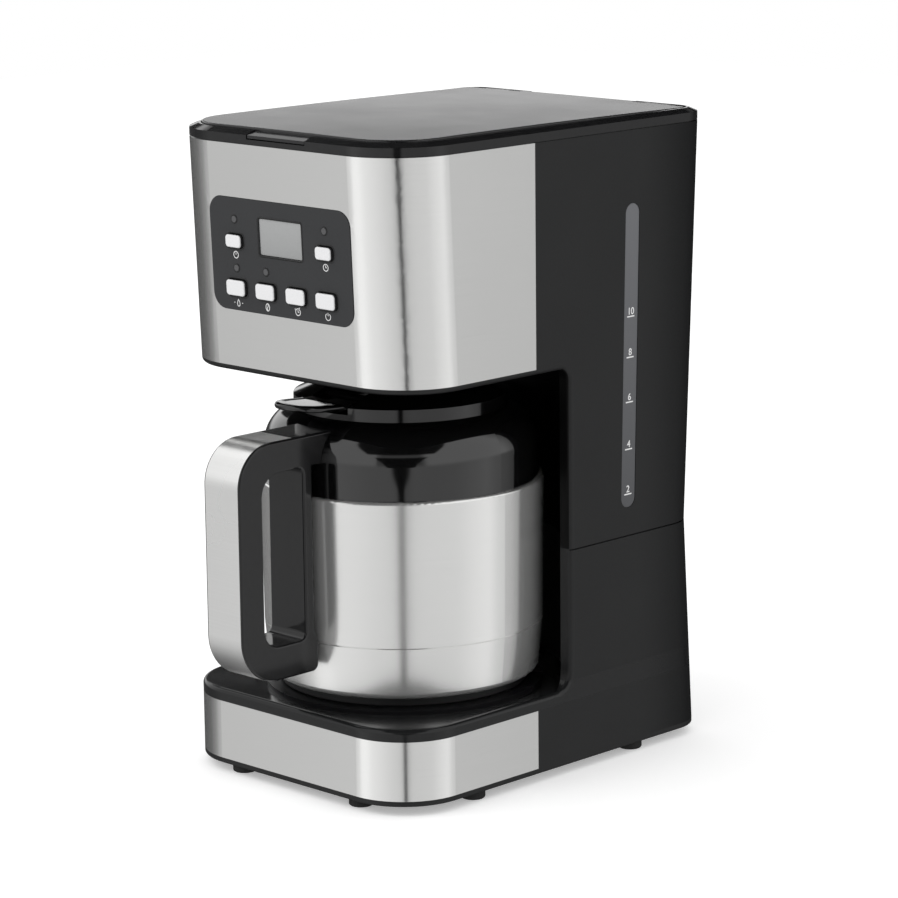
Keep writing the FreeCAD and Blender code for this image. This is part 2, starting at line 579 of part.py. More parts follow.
def make_base():
    """Build the pan, feet, base screws, lower housing, steel band and rest plate."""
    plate = prism("pan_plate", house_outline(), "foot_height", "base_z")
    plate = round_edges("pan_rounded", plate, "pan_edge", lambda edge: near(
        edge.BoundBox.ZMax, number("foot_height")))
    holes = [rod(f"pan_hole_{i}", "screw_radius + screw_fit", "Z", ("0", "base_z + 1"), x, y)
             for i, (x, y) in enumerate(SCREW_SPOTS)]
    middle_vent = (VENT_COUNT - 1) / 2
    vents = [block(f"pan_vent_{i}", ("-vent_length / 2", "vent_length / 2"),
                   (f"carafe_y + vent_pitch * {i - middle_vent} - vent_width / 2",
                    f"carafe_y + vent_pitch * {i - middle_vent} + vent_width / 2"),
                   ("0", "base_z + 1")) for i in range(VENT_COUNT)]
    posts = [rod(f"pan_post_{i}", "screw_head_radius", "Z",
                 ("base_z - pan_edge", "base_z + power_board_lift"), x, y)
             for i, (x, y) in enumerate(POWER_POSTS)]
    node("bottom_pan", cut("bottom_pan", fuse("pan_with_posts", plate, *posts), *holes, *vents))

    feet = []
    for i, (x, y) in enumerate(FOOT_SPOTS):
        pad = rod(f"foot_{i}", "foot_radius", "Z", ("0", "foot_height"), x, y)
        feet.append(round_edges(f"foot_round_{i}", pad, "foot_edge",
                                lambda edge: near(edge.BoundBox.ZMax, 0)))
    node("rubber_feet", group("rubber_feet", feet))

    screws = []
    for i, (x, y) in enumerate(SCREW_SPOTS):
        head = rod(f"base_screw_head_{i}", "screw_head_radius", "Z",
                   ("foot_height - screw_head_height", "foot_height"), x, y)
        shank = rod(f"base_screw_shank_{i}", "screw_radius", "Z",
                    ("foot_height - screw_head_height / 2", "base_z + screw_bite"), x, y)
        screws.append(fuse(f"base_screw_{i}", head, shank))
    node("base_screws", group("base_screws", screws))

    make_lower_housing()

    inner = prism("base_band_inner", house_outline("band_thickness"), "base_z - 1", "base_band_z + 1")
    outer = prism("base_band_outer", house_outline(), "base_z", "base_band_z")
    front = block("base_band_front", ACROSS, (f"front_y - {WIDE}", "band_end_y"), ("base_z", "base_band_z"))
    node("base_steel_band", cut("base_steel_band", common("base_band_wrap", outer, front), inner))

    node("carafe_rest", rod("carafe_rest", "rest_radius", "Z", ("deck_z - rest_groove_depth", "rest_z"),
                            y="carafe_y"))


def make_lower_housing():
    """Build the lower housing: skirt, deck and the foot of the rear column."""
    outer = loft("lower_outer", (house_outline(), "base_z"), (house_outline(back="seam_back_y"), "seam_z"))
    solid = open_bay("lower_bay", outer)
    inner = loft("lower_inner", (house_outline("shell"), "base_z"),
                 (house_outline("shell", back="seam_back_y"), "seam_z"))
    under = block("lower_under", ACROSS, (f"front_y - {WIDE}", "back_y"), ("base_z", "deck_under_z"))
    behind = column_space("lower_column", "base_z", "seam_z")
    hollow = common("lower_hollow", inner, fuse("lower_spaces", under, behind))
    keep = prism("lower_band_keep", house_outline("recess"), "base_z - 1", "base_band_z + 1")
    wrap = block("lower_band_space", ACROSS, (f"front_y - {WIDE}", "band_end_y"),
                 ("base_z - 1", "base_band_z"))
    groove = rod("rest_space", "rest_radius + rest_groove", "Z",
                 ("deck_z - rest_groove_depth", "deck_z + edge_radius"), y="carafe_y")
    seam_space = block("seam_space", ACROSS, (f"front_y - {WIDE}", "back_y + 1"),
                       ("seam_z - seam_line", "seam_z + 1"))
    seam_core = prism("seam_core", house_outline("seam_depth", back="seam_back_y"),
                      "seam_z - seam_line - 1", "seam_z + 2")
    solid = cut("lower_shell", solid, hollow, cut("lower_band_recess", wrap, keep), groove,
                cut("seam_groove", seam_space, seam_core))
    bosses = []
    for i, (x, y) in enumerate(SCREW_SPOTS):
        top = "deck_under_z + 1" if "front" in y else "base_z + rear_boss_height"
        bosses.append(rod(f"base_boss_{i}", "boss_radius", "Z", ("base_z", top), x, y))
    limit = loft("boss_limit", (house_outline("recess + wall / 2"), "base_z"),
                 (house_outline("recess + wall / 2", back="seam_back_y"), "seam_z"))
    kept_bosses = common("bosses_inside", fuse("bosses", *bosses), limit)
    bores = [rod(f"base_bore_{i}", "screw_radius + screw_fit", "Z",
                 ("base_z - 1", "base_z + screw_bite + 1"), x, y) for i, (x, y) in enumerate(SCREW_SPOTS)]
    gland_hole = rod("gland_hole", "gland_radius + gland_fit", "Y",
                     ("back_y - gland_length - gland_fit", "back_y + 1"),
                     x="-gland_x", z="base_z + gland_lift")
    joined = fuse("lower_joined", solid, kept_bosses)
    node("lower_housing", cut("lower_housing", joined, *bores, gland_hole))

    flange = rod("gland_flange", "gland_flange_radius", "Y", ("back_y - gland_flange", "back_y"),
                 x="-gland_x", z="base_z + gland_lift")
    stem = rod("gland_stem", "gland_radius", "Y", ("back_y - gland_length", "back_y"),
               x="-gland_x", z="base_z + gland_lift")
    bore = rod("gland_bore", "gland_bore", "Y", ("back_y - gland_length - 1", "back_y + 1"),
               x="-gland_x", z="base_z + gland_lift")
    seat = loft("gland_seat", (house_outline(), "base_z"), (house_outline(back="seam_back_y"), "seam_z"))
    outside = fuse("gland_parts", cut("gland_flange_outside", flange, seat), stem)
    node("cord_gland", cut("cord_gland", outside, bore))


# Upper housing, its steel band, the rim and the lid
def lean_loft(name, inset):
    """Give the upper housing's leaning form, drawn in by an inset."""
    return loft(name, (house_outline(inset, "seam_front_y", "seam_back_y"), "seam_z"),
                (top_outline(inset), "rim_z"))


def gauge_bar(name, width, length, x):
    """Give an upright bar with round ends, at the water gauge's place."""
    made = doc.addObject("PartDesign::Body", name)
    sketch = body_sketch(made, f"{name}_outline", "YZ_Plane")
    half, reach = f"(({width}) / 2)", f"(({length}) / 2)"
    round_end = f"{half} - gauge_fit"
    draw_outline(sketch, [(f"-{half}", f"-{reach}", round_end), (half, f"-{reach}", round_end),
                          (half, reach, round_end), (f"-{half}", reach, round_end)])
    pad = made.newObject("PartDesign::Pad", f"{name}_pad")
    pad.Profile = sketch
    bind(pad, Length=f"({x[1]}) - ({x[0]})")
    return place(made, x[0], "front_y + gauge_setback", "base_z + gauge_low + gauge_length / 2",
                 turn="0 deg - gauge_lean * 1 deg")


def make_upper_housing():
    """Build the upper housing, its steel band and the water gauge window."""
    solid = open_bay("upper_bay", lean_loft("upper_outer", "0"))
    inside = block("upper_inside", ACROSS, (f"front_y - {WIDE}", "back_y"),
                   ("head_z + head_floor", "rim_z"))
    behind = column_space("upper_column", "seam_z", "head_z + head_floor + 1")
    hollow = common("upper_hollow", lean_loft("upper_inner", "shell"),
                    fuse("upper_spaces", inside, behind))
    wrap = block("upper_band_space", ACROSS, (f"front_y - {WIDE}", "band_end_y"),
                 ("head_band_z", "rim_z + 1"))
    recess = cut("upper_band_recess", wrap, lean_loft("upper_band_keep", "recess"))
    slot = gauge_bar("gauge_slot", "gauge_width", "gauge_length",
                     ("body_width / 2 - shell - 1", "body_width"))
    window = panel_slab("panel_window", "0", "0", "panel_width - panel_corner",
                        "panel_height - panel_corner", "panel_corner / 2", "0 - board_depth", "board_depth")
    drain = rod("floor_hole", "floor_hole", "Z", ("head_z - 1", "head_z + head_floor + 1"), y="carafe_y")
    node("upper_housing", cut("upper_housing", solid, hollow, recess, slot, window, drain))

    front = block("head_band_front", ACROSS, (f"front_y - {WIDE}", "band_end_y"), ("head_band_z", "rim_z"))
    sheet = cut("head_band_sheet", common("head_band_wrap", lean_loft("head_band_outer", "0"), front),
                lean_loft("head_band_inner", "band_thickness"))
    hole = panel_slab("head_band_hole", "0", "0", "panel_width + 2 * panel_fit",
                      "panel_height + 2 * panel_fit", "panel_corner + panel_fit", "0 - board_depth",
                      "board_depth")
    node("head_steel_band", cut("head_steel_band", sheet, hole))

    inner_x = "body_width / 2 - shell"
    pane = gauge_bar("gauge_pane", "gauge_width - 2 * gauge_fit", "gauge_length - 2 * gauge_fit",
                     (f"{inner_x} - gauge_flange_thickness / 2", "body_width / 2 - gauge_sunk"))
    flange = gauge_bar("gauge_back", "gauge_width + 2 * gauge_flange", "gauge_length + 2 * gauge_flange",
                       (f"{inner_x} - gauge_flange_thickness", inner_x))
    node("gauge_window", fuse("gauge_window", pane, flange))


def make_top():
    """Build the top rim, the hinged lid with its water duct and shower, and the hinge pins."""
    foot = prism("rim_foot", top_outline("rim_line_depth"), "rim_z", "rim_z + rim_line")
    face = prism("rim_face", top_outline(), "rim_z + rim_line", "rim_ridge_z")
    bevel = loft("rim_bevel", (top_outline(), "rim_ridge_z"), (top_outline("rim_bevel_width"), "rim_top_z"))
    mouth = prism("rim_mouth", top_outline("rim_width"), "ledge_z", "rim_top_z + 1")
    through = prism("rim_through", top_outline("rim_width + rim_ledge"), "rim_z - 1", "rim_top_z + 1")
    half = "(tab_width / 2 + lid_gap)"
    scoop = block("rim_scoop", (f"-{half}", half), (f"front_y - {WIDE}", "front_y + rim_width + 1"),
                  ("tab_low_z - lid_gap", "rim_top_z + 1"))
    rear_gap = block("rim_rear_gap", ("-(rear_gap_width / 2)", "rear_gap_width / 2"),
                     ("back_y - rim_width - 1", "back_y + 1"),
                     ("rim_top_z - rear_gap_depth", "rim_top_z + 1"))
    lugs = []
    bores = []
    for i, side in enumerate((-1, 1)):
        centre = f"{side} * hinge_spread"
        cheek = (f"{centre} - hinge_lug_width / 2", f"{centre} + hinge_lug_width / 2")
        eye = rod(f"rim_eye_{i}", "lid_edge_height / 2", "X", cheek, y="hinge_y", z="hinge_z")
        stand = block(f"rim_stand_{i}", cheek, ("hinge_y", "back_y - rim_width + 1"),
                      ("ledge_z - 1", "hinge_z"))
        lugs += [eye, stand]
        bores.append(rod(f"rim_eye_bore_{i}", "hinge_pin_radius + pin_clearance / 2", "X",
                         (f"{cheek[0]} - 1", f"{cheek[1]} + 1"), y="hinge_y", z="hinge_z"))
    opened = cut("rim_opened", fuse("rim_frame", foot, face, bevel), mouth, through, scoop, rear_gap)
    node("top_rim", cut("top_rim", fuse("rim_with_lugs", opened, *lugs), *bores))

    pins = [rod(f"hinge_pin_{i}", "hinge_pin_radius", "X",
                (f"{side} * hinge_spread - hinge_pin_length / 2",
                 f"{side} * hinge_spread + hinge_pin_length / 2"),
                y="hinge_y", z="hinge_z") for i, side in enumerate((-1, 1))]
    node("hinge_pins", group("hinge_pins", pins))
    make_lid()


def make_lid():
    """Build the hinged lid, its water duct and its shower plate."""
    plate = prism("lid_plate", top_outline("lid_inset"), "lid_z", "lid_top_z + 1")
    crown = doc.addObject("Part::Sphere", "lid_crown")
    bind(crown, Radius="lid_crown_radius")
    place(crown, y="(front_y + back_y) / 2 - lid_crown_shift", z="lid_top_z - lid_crown_radius",
          turn="90 deg")
    top = round_edges("lid_rounded", common("lid_crowned", plate, crown), "lid_edge", lambda edge: (
        edge.BoundBox.ZMin > number("lid_z + lid_edge_height / 2")))
    hinge_end = "hinge_spread + hinge_pin_length"
    barrel = rod("lid_barrel", "lid_edge_height / 2", "X", (f"-({hinge_end})", hinge_end),
                 y="hinge_y", z="hinge_z")
    height = ("lid_z - 1", "lid_top_z + 2")
    trims = [block("lid_rear_trim", ACROSS, ("hinge_y", "back_y"), height)]
    corner_y = ("hinge_y - lid_edge_height / 2", "back_y")
    for i, corner_x in enumerate(((f"-{WIDE}", f"-({hinge_end})"), (hinge_end, WIDE))):
        trims.append(block(f"lid_corner_trim_{i}", corner_x, corner_y, height))
    trimmed = cut("lid_trimmed", top, *trims)
    pocket = prism("lid_pocket", top_outline("lid_inset + lid_skirt", back="hinge_y"), "lid_z - 1",
                   "lid_ceiling_z")
    tab_front, tab_root = "tab_setback - carafe_setback", "lid_inset + lid_skirt / 2 - carafe_setback"
    tab = side_slab("lid_tab", [
        (tab_front, "tab_low_z"), (tab_root, "tab_low_z"), (tab_root, "rim_ridge_z + tab_rise"),
        (tab_front, "rim_ridge_z")], "tab_width")
    spaces = []
    bores = []
    half = "(hinge_lug_width / 2 + hinge_lug_gap)"
    for i, side in enumerate((-1, 1)):
        centre = f"{side} * hinge_spread"
        spaces.append(block(f"lid_lug_space_{i}", (f"{centre} - {half}", f"{centre} + {half}"),
                            ("hinge_y - lid_edge_height / 2 - hinge_lug_gap", "back_y"), height))
        bores.append(rod(f"lid_pin_bore_{i}", "hinge_pin_radius + pin_clearance", "X",
                         (f"{centre} - hinge_pin_length / 2 - 1", f"{centre} + hinge_pin_length / 2 + 1"),
                         y="hinge_y", z="hinge_z"))
    shell = cut("lid_shell", trimmed, pocket)
    node("brew_lid", cut("brew_lid", fuse("lid_joined", shell, barrel, tab), *spaces, *bores))

    run = "sqrt(riser_x^2 + (riser_y - carafe_y)^2)"
    duct = doc.addObject("Part::Box", "duct_box")
    bind(duct, Length=f"{run} + duct_width / 2", Width="duct_width", Height="lid_ceiling_z - duct_z")
    angle = math.degrees(math.atan2(number("riser_y - carafe_y"), number("-riser_x")))
    duct.Placement = Placement(Vector(), Rotation(Vector(0, 0, 1), angle))
    place(duct, f"duct_width / 2 * (riser_y - carafe_y) / ({run})",
          f"carafe_y + duct_width / 2 * riser_x / ({run})", "duct_z")
    shower_space = rod("duct_shower_space", "shower_radius", "Z", ("duct_z - 1", "lid_ceiling_z + 1"),
                       y="carafe_y")
    inlet = rod("duct_inlet", "nipple_bore", "Z", ("duct_z - 1", "duct_z + duct_over"),
                "-riser_x", "riser_y")
    node("lid_water_duct", cut("lid_water_duct", duct, shower_space, inlet))

    shower = rod("shower_disc", "shower_radius", "Z", ("duct_z - shower_thickness", "lid_ceiling_z"),
                 y="carafe_y")
    hollow = rod("shower_hollow", "shower_radius - shower_thickness", "Z", ("duct_z", "lid_ceiling_z + 1"),
                 y="carafe_y")
    count = int(number("shower_holes"))
    holes = [rod(f"shower_hole_{i}", "shower_hole", "Z", ("duct_z - shower_thickness - 1", "duct_z + 1"),
                 f"shower_ring * cos({360 * i / count} deg)",
                 f"carafe_y + shower_ring * sin({360 * i / count} deg)") for i in range(count)]
    node("shower_plate", cut("shower_plate", shower, hollow, *holes))


# Control panel
BUTTONS = {
    "hour_button": ("-button_outer_u", "small"), "minute_button": ("button_outer_u", "small"),
    "clean_button": ("-button_outer_u", "large"), "strong_button": ("-button_inner_u", "large"),
    "program_button": ("button_inner_u", "large"), "power_button": ("button_outer_u", "large"),
}
LEDS = [("-button_outer_u", "led_top_v"), ("button_outer_u", "led_top_v"),
        ("-button_outer_u", "led_low_v"), ("-button_inner_u", "led_low_v")]
PILLARS = [(f"{side}(panel_width / 2 - pillar_inset)", height)
           for side in ("-", "") for height in ("pillar_low_v", "pillar_high_v")]


def make_controls():
    """Build the fascia, six buttons, indicator lenses, display and control board."""
    back = "0 - panel_thickness"
    face = panel_slab("fascia_face", "0", "0", "panel_width", "panel_height", "panel_corner",
                      "0 - band_thickness", "panel_proud")
    step = panel_slab("fascia_step", "0", "0", "panel_width - panel_corner - 2 * panel_fit",
                      "panel_height - panel_corner - 2 * panel_fit", "panel_corner / 2", back, "0")
    depth = (f"{back} - 1", "panel_proud + 1")
    openings = [panel_slab("fascia_display_hole", "display_u", "display_v", "display_width",
                           "display_height", "display_corner", *depth)]
    for name, (u, kind) in BUTTONS.items():
        openings.append(panel_slab(f"{name}_hole", u, f"{kind}_button_v",
                                   f"{kind}_button_width + 2 * button_fit",
                                   f"{kind}_button_height + 2 * button_fit",
                                   "button_corner + button_fit", *depth))
    for i, (u, v) in enumerate(LEDS):
        openings.append(panel_rod(f"led_hole_{i}", u, v, "led_radius + led_fit", *depth))
    pillars = [panel_rod(f"fascia_pillar_{i}", u, v, "pillar_radius", "board_top", f"{back} + 1")
               for i, (u, v) in enumerate(PILLARS)]
    bores = [panel_rod(f"pillar_bore_{i}", u, v, "screw_radius + screw_fit", "board_top - 1",
                       "board_top + screw_bite + 1") for i, (u, v) in enumerate(PILLARS)]
    plate = fuse("fascia_with_pillars", face, step, *pillars)
    node("control_fascia", cut("control_fascia", plate, *openings, *bores))

    for name, (u, kind) in BUTTONS.items():
        make_button(name, u, f"{kind}_button_v", f"{kind}_button_width", f"{kind}_button_height", back)

    lenses = [panel_rod(f"led_{i}", u, v, "led_radius", "board_top", "panel_proud + led_proud")
              for i, (u, v) in enumerate(LEDS)]
    node("indicator_lenses", group("indicator_lenses", lenses))

    node("display_lens", panel_slab("display_lens", "display_u", "display_v",
                                    "display_width - 2 * panel_fit", "display_height - 2 * panel_fit",
                                    "display_corner", "panel_proud - lens_sunk - lens_thickness",
                                    "panel_proud - lens_sunk"))
    node("display_module", panel_slab("display_module", "display_u", "display_v",
                                      "display_width + 2 * display_bezel", "display_height + display_bezel",
                                      "display_corner", "board_top", "0 - panel_thickness"))

    board = panel_slab("board_plate", "0", "0", "panel_width - 2 * board_margin",
                       "panel_height - 2 * board_margin", "panel_corner - board_margin",
                       "board_top - board_thickness", "board_top")
    board_holes = [panel_rod(f"board_hole_{i}", u, v, "screw_radius + screw_fit",
                             "board_top - board_thickness - 1", "board_top + 1")
                   for i, (u, v) in enumerate(PILLARS)]
    node("control_board", cut("control_board", board, *board_holes))

    screws = []
    for i, (u, v) in enumerate(PILLARS):
        head = panel_rod(f"board_screw_head_{i}", u, v, "screw_head_radius",
                         "board_top - board_thickness - screw_head_height", "board_top - board_thickness")
        shank = panel_rod(f"board_screw_shank_{i}", u, v, "screw_radius",
                          "board_top - board_thickness - screw_head_height / 2", "board_top + screw_bite")
        screws.append(fuse(f"board_screw_{i}", head, shank))
    node("board_screws", group("board_screws", screws))

    switches = [panel_slab(f"switch_{name}", u, f"{kind}_button_v", "switch_size", "switch_size",
                           "switch_size / 8", "board_top", "board_top + switch_height")
                for name, (u, kind) in BUTTONS.items()]
    node("tact_switches", group("tact_switches", switches))


def make_button(name, u, v, width, height, back):
    """Build one button: a rounded cap, a flange that holds it in, and a stem."""
    cap = panel_slab(f"{name}_cap", u, v, width, height, "button_corner",
                     f"{back} - button_back_gap - button_flange_depth / 2", "panel_proud + button_proud")
    top = number("panel_proud + button_proud")
    soften(cap, f"{name}_soft", "button_edge", lambda edge: near(edge.BoundBox.ZMin, top))
    flange = panel_slab(f"{name}_flange", u, v, f"{width} + 2 * button_flange",
                        f"{height} + 2 * button_flange", "button_corner",
                        f"{back} - button_back_gap - button_flange_depth", f"{back} - button_back_gap")
    stem = panel_rod(f"{name}_stem", u, v, "button_stem_radius",
                     "board_top + switch_height + button_travel + button_fit",
                     f"{back} - button_back_gap - button_flange_depth / 2")
    node(name, fuse(name, cap, flange, stem))


# Water path
def hose_shape(points, bend, radius, bore):
    """Give a hose along straight runs joined by tangent arcs."""
    edges = []
    start = points[0]
    for before, corner, after in zip(points, points[1:], points[2:]):
        entry, leave, centre = corner_arc(before, corner, after, bend)
        edges.append(Part.LineSegment(start, entry).toShape())
        apex = centre + (corner - centre).normalize() * bend
        edges.append(Part.Arc(entry, apex, leave).toShape())
        start = leave
    edges.append(Part.LineSegment(start, points[-1]).toShape())
    path = Part.Wire(edges)
    heading = (points[1] - points[0]).normalize()
    walls = []
    for size in (radius, bore):
        ring = Part.Wire([Part.Circle(points[0], heading, size).toShape()])
        walls.append(path.makePipeShell([ring], True, False))
    return walls[0].cut(walls[1])


def make_hose(name, route):
    """Add a hose that follows a route of formula points."""
    made = doc.addObject("Part::Feature", name)
    points = [Vector(*(number(formula) for formula in point)) for point in route]
    radius, bore = number("hose_radius"), number("nipple_radius + hose_fit")
    made.Shape = hose_shape(points, number("hose_bend"), radius, bore)
    return node(name, made)


def tank_block(name, inset, low, high):
    """Give the tank's plan form, drawn in by an inset, between two heights."""
    box = block(f"{name}_box", (f"tank_left + ({inset})", f"tank_side - ({inset})"),
                (f"tank_front_y + ({inset})", f"tank_back_y - ({inset})"), (low, high))
    upright = round_edges(f"{name}_rounded", box, f"back_corner_radius - shell - ({inset})", lambda edge: (
        near(middle(edge).y, number(f"tank_back_y - ({inset})")) and edge.BoundBox.ZLength > 1))
    return cut(name, upright, rod(f"{name}_curve", f"tank_curve + ({inset})", "Z",
                                  (f"{low} - 1", f"{high} + 1"), y="bay_y"))


def make_water_path():
    """Build the tank, check valve, heater, hoses and the parts around them."""
    outer = tank_block("tank_outer", "0", "tank_z", "tank_top_z")
    inner = tank_block("tank_inner", "tank_wall", "tank_z + tank_wall", "tank_top_z + 1")
    at = ("outlet_x", "outlet_y")
    spigot = rod("tank_spigot", "spigot_radius", "Z", ("spigot_z", "tank_z + tank_wall / 2"), *at)
    bore = rod("tank_bore", "spigot_bore", "Z", ("spigot_z - 1", "tank_z + tank_wall + 1"), *at)
    tank = fuse("tank_with_spigot", cut("tank_shell", outer, inner), spigot)
    node("water_tank", cut("water_tank", tank, bore))

    housing = rod("valve_body", "valve_radius", "Z", ("valve_z", "valve_top_z"), *at)
    nipple = rod("valve_nipple", "nipple_radius", "Z", ("nipple_z", "valve_z + 1"), *at)
    socket = rod("valve_socket", "spigot_radius + hose_fit", "Z", ("spigot_z", "valve_top_z + 1"), *at)
    cage_z = "ball_z - valve_ball - cage_pin"
    chamber = rod("valve_chamber", "valve_chamber", "Z", (cage_z, "spigot_z + 1"), *at)
    drain = rod("valve_drain", "nipple_bore", "Z", ("nipple_z - 1", "ball_z"), *at)
    cage = rod("valve_cage", "cage_pin", "X",
               ("outlet_x - valve_chamber - 1", "outlet_x + valve_chamber + 1"), y="outlet_y", z=cage_z)
    hollow = cut("valve_hollow", fuse("valve_shape", housing, nipple), socket, chamber, drain)
    node("check_valve", fuse("check_valve", hollow, cage))
    ball = doc.addObject("Part::Sphere", "check_ball")
    bind(ball, Radius="valve_ball")
    node("check_ball", place(ball, *at, "ball_z"))

    make_heater()
    make_hose("inlet_hose", [("outlet_x", "outlet_y", "valve_z - hose_fit"),
                             ("outlet_x", "outlet_y", "heater_z"),
                             ("heater_radius", "heater_end_y + hose_fit", "heater_z")])
    rise = "heater_z + hose_climb"
    make_hose("riser_hose", [("-heater_radius", "heater_end_y + hose_fit", "heater_z"),
                             ("-heater_radius", "riser_y", "heater_z"), ("-riser_x", "riser_y", rise),
                             ("-riser_x", "riser_y", "tray_z - tray_plate - hose_fit")])

    riser = ("-riser_x", "riser_y")
    stem_low = "tray_z - tray_plate - nipple_length"
    ring = rod("outlet_ring", "nipple_radius + seal_wall", "Z", ("tray_z", "seal_z"), *riser)
    stem = rod("outlet_stem", "nipple_radius", "Z", (stem_low, "tray_z + seal_height / 2"), *riser)
    bore = rod("outlet_bore", "nipple_bore", "Z", (f"{stem_low} - 1", "seal_z + 1"), *riser)
    node("riser_outlet", cut("riser_outlet", fuse("outlet_shape", ring, stem), bore))

    make_tray()
    rear = "back_y - waist - shell - power_board_from_back"
    low = "base_z + power_board_lift"
    node("power_board", block("power_board", ("-power_board_width / 2", "power_board_width / 2"),
                              (f"{rear} - power_board_depth", rear), (low, f"{low} + board_thickness")))


def make_heater():
    """Build the U-shaped heater with its lugs, thermostat and fuse."""
    outer_ring = rod("heater_ring", "heater_radius + heater_width / 2", "Z",
                     ("heater_top_z - heater_height", "heater_top_z"), y="carafe_y")
    inner_ring = rod("heater_hole", "heater_radius - heater_width / 2", "Z",
                     ("heater_top_z - heater_height - 1", "heater_top_z + 1"), y="carafe_y")
    rear = block("heater_rear", ACROSS, ("carafe_y", "back_y"),
                 ("heater_top_z - heater_height - 1", "heater_top_z + 1"))
    pieces = [cut("heater_bow", outer_ring, inner_ring, rear)]
    bores = []
    for i, side in enumerate((-1, 1)):
        centre = f"{side} * heater_radius"
        pieces.append(block(f"heater_leg_{i}",
                            (f"{centre} - heater_width / 2", f"{centre} + heater_width / 2"),
                            ("carafe_y", "heater_end_y"), ("heater_top_z - heater_height", "heater_top_z")))
        pieces.append(rod(f"heater_nipple_{i}", "nipple_radius", "Y",
                          ("heater_end_y - 1", "heater_end_y + nipple_length"), x=centre, z="heater_z"))
        bores.append(rod(f"heater_bore_{i}", "nipple_bore", "Y",
                         ("carafe_y", "heater_end_y + nipple_length + 1"), x=centre, z="heater_z"))
    spots = [("0", "carafe_y - heater_radius"), ("-heater_radius", "carafe_y + heater_lug_setback"),
             ("heater_radius", "carafe_y + heater_lug_setback")]
    pieces += [block(f"heater_lug_{i}", (f"{x} - heater_lug / 2", f"{x} + heater_lug / 2"),
                     (f"{y} - heater_lug / 2", f"{y} + heater_lug / 2"), ("heater_z", "deck_under_z"))
               for i, (x, y) in enumerate(spots)]
    node("heater_block", cut("heater_block", fuse("heater_shape", *pieces), *bores))
    behind = "heater_end_y - thermostat_radius"
    node("thermostat", rod("thermostat", "thermostat_radius", "Z",
                           ("heater_top_z", "heater_top_z + thermostat_height"), "-heater_radius", behind))
    node("thermal_fuse", rod("thermal_fuse", "fuse_radius", "Y",
                             (f"{behind} - fuse_length / 2", f"{behind} + fuse_length / 2"),
                             x="heater_radius", z="heater_top_z + fuse_radius"))


def make_tray():
    """Build the top tray, which covers the tank and holds the brewing well."""
    tray = prism("tray_solid", top_outline("tray_inset"), "tray_z - tray_plate", "rim_z")
    hollow = prism("tray_hollow", top_outline("tray_inset + tray_wall"), "tray_z", "rim_z + 1")
    well = rod("well_tube", "well_radius + well_wall", "Z",
               ("head_z + head_floor", "tray_z - tray_plate / 2"), y="carafe_y")
    well_hole = rod("well_hole", "well_radius", "Z", ("head_z", "rim_z + 1"), y="carafe_y")
    fill = tank_block("tray_fill", "fill_margin", "tray_z - tray_plate - 1", "rim_z + 1")
    riser_hole = rod("tray_riser_hole", "nipple_radius + hose_fit", "Z",
                     ("tray_z - tray_plate - 1", "rim_z"), "-riser_x", "riser_y")
    node("top_tray", cut("top_tray", fuse("tray_with_well", cut("tray_open", tray, hollow), well),
                         well_hole, fill, riser_hole))


# Brewing parts
def make_brewing():
    """Build the filter basket, mesh filter and drip stop with its spring."""
    flange_top = "tray_z + basket_flange_thickness"
    slope_low, slope_high = "basket_low_radius", "basket_radius"
    basket = turned("basket_form", [
        ("spout_hole", "spout_z"), ("spout_radius", "spout_z"),
        ("spout_radius", "basket_low_z - spout_radius / 2"), (slope_low, "basket_low_z"),
        (slope_high, "tray_z"), ("basket_flange", "tray_z"), ("basket_flange", flange_top),
        (f"{slope_high} - basket_wall", flange_top),
        (f"{slope_low} - basket_wall", "basket_low_z + basket_wall"),
        ("spout_radius - spout_wall", "basket_low_z - spout_radius / 2 + basket_wall"),
        ("spout_radius - spout_wall", "seat_z"), ("spout_hole", "seat_z")])
    bridge = block("basket_bridge", ("0 - spout_radius + spout_wall / 2", "spout_radius - spout_wall / 2"),
                   ("carafe_y - bridge_width / 2", "carafe_y + bridge_width / 2"),
                   ("bridge_z", "bridge_z + bridge_thickness"))
    guide = rod("basket_guide", "stop_pin_radius + stop_pin_fit", "Z",
                ("bridge_z - 1", "bridge_z + bridge_thickness + 1"), y="carafe_y")
    node("filter_basket", cut("filter_basket", fuse("basket_bridged", basket, bridge), guide))

    rim_high = f"{flange_top} + mesh_rim_height"
    rim_out = f"{slope_high} + mesh_rim - basket_wall"
    mesh_low, mesh_high = (f"{slope} - basket_wall - mesh_gap" for slope in (slope_low, slope_high))
    floor = "basket_low_z + mesh_lift"
    node("mesh_filter", turned("mesh_filter", [
        ("0", floor), (mesh_low, floor), (mesh_high, flange_top), (rim_out, flange_top),
        (rim_out, rim_high), (f"{mesh_high} - mesh_wall", rim_high),
        (f"{mesh_low} - mesh_wall", f"{floor} + mesh_wall"), ("0", f"{floor} + mesh_wall")]))

    disc_low = "seat_z + stop_seal"
    pin_top = "bridge_z + bridge_thickness + stop_pin_over"
    node("drip_stop", turned("drip_stop", [
        ("0", "stop_stem_z"), ("stop_stem_radius", "stop_stem_z"), ("stop_stem_radius", disc_low),
        ("stop_disc_radius", disc_low), ("stop_disc_radius", "stop_disc_top_z"),
        ("stop_pin_radius", "stop_disc_top_z"), ("stop_pin_radius", pin_top), ("0", pin_top)]))
    node("drip_stop_seal", turned("drip_stop_seal", [
        ("stop_stem_radius + stop_pin_fit", "seat_z"), ("stop_disc_radius", "seat_z"),
        ("stop_disc_radius", disc_low), ("stop_stem_radius + stop_pin_fit", disc_low)]))
    make_spring("drip_stop_spring", "stop_spring_radius", "stop_spring_wire", "stop_spring_turns",
                "stop_disc_top_z", "bridge_z")


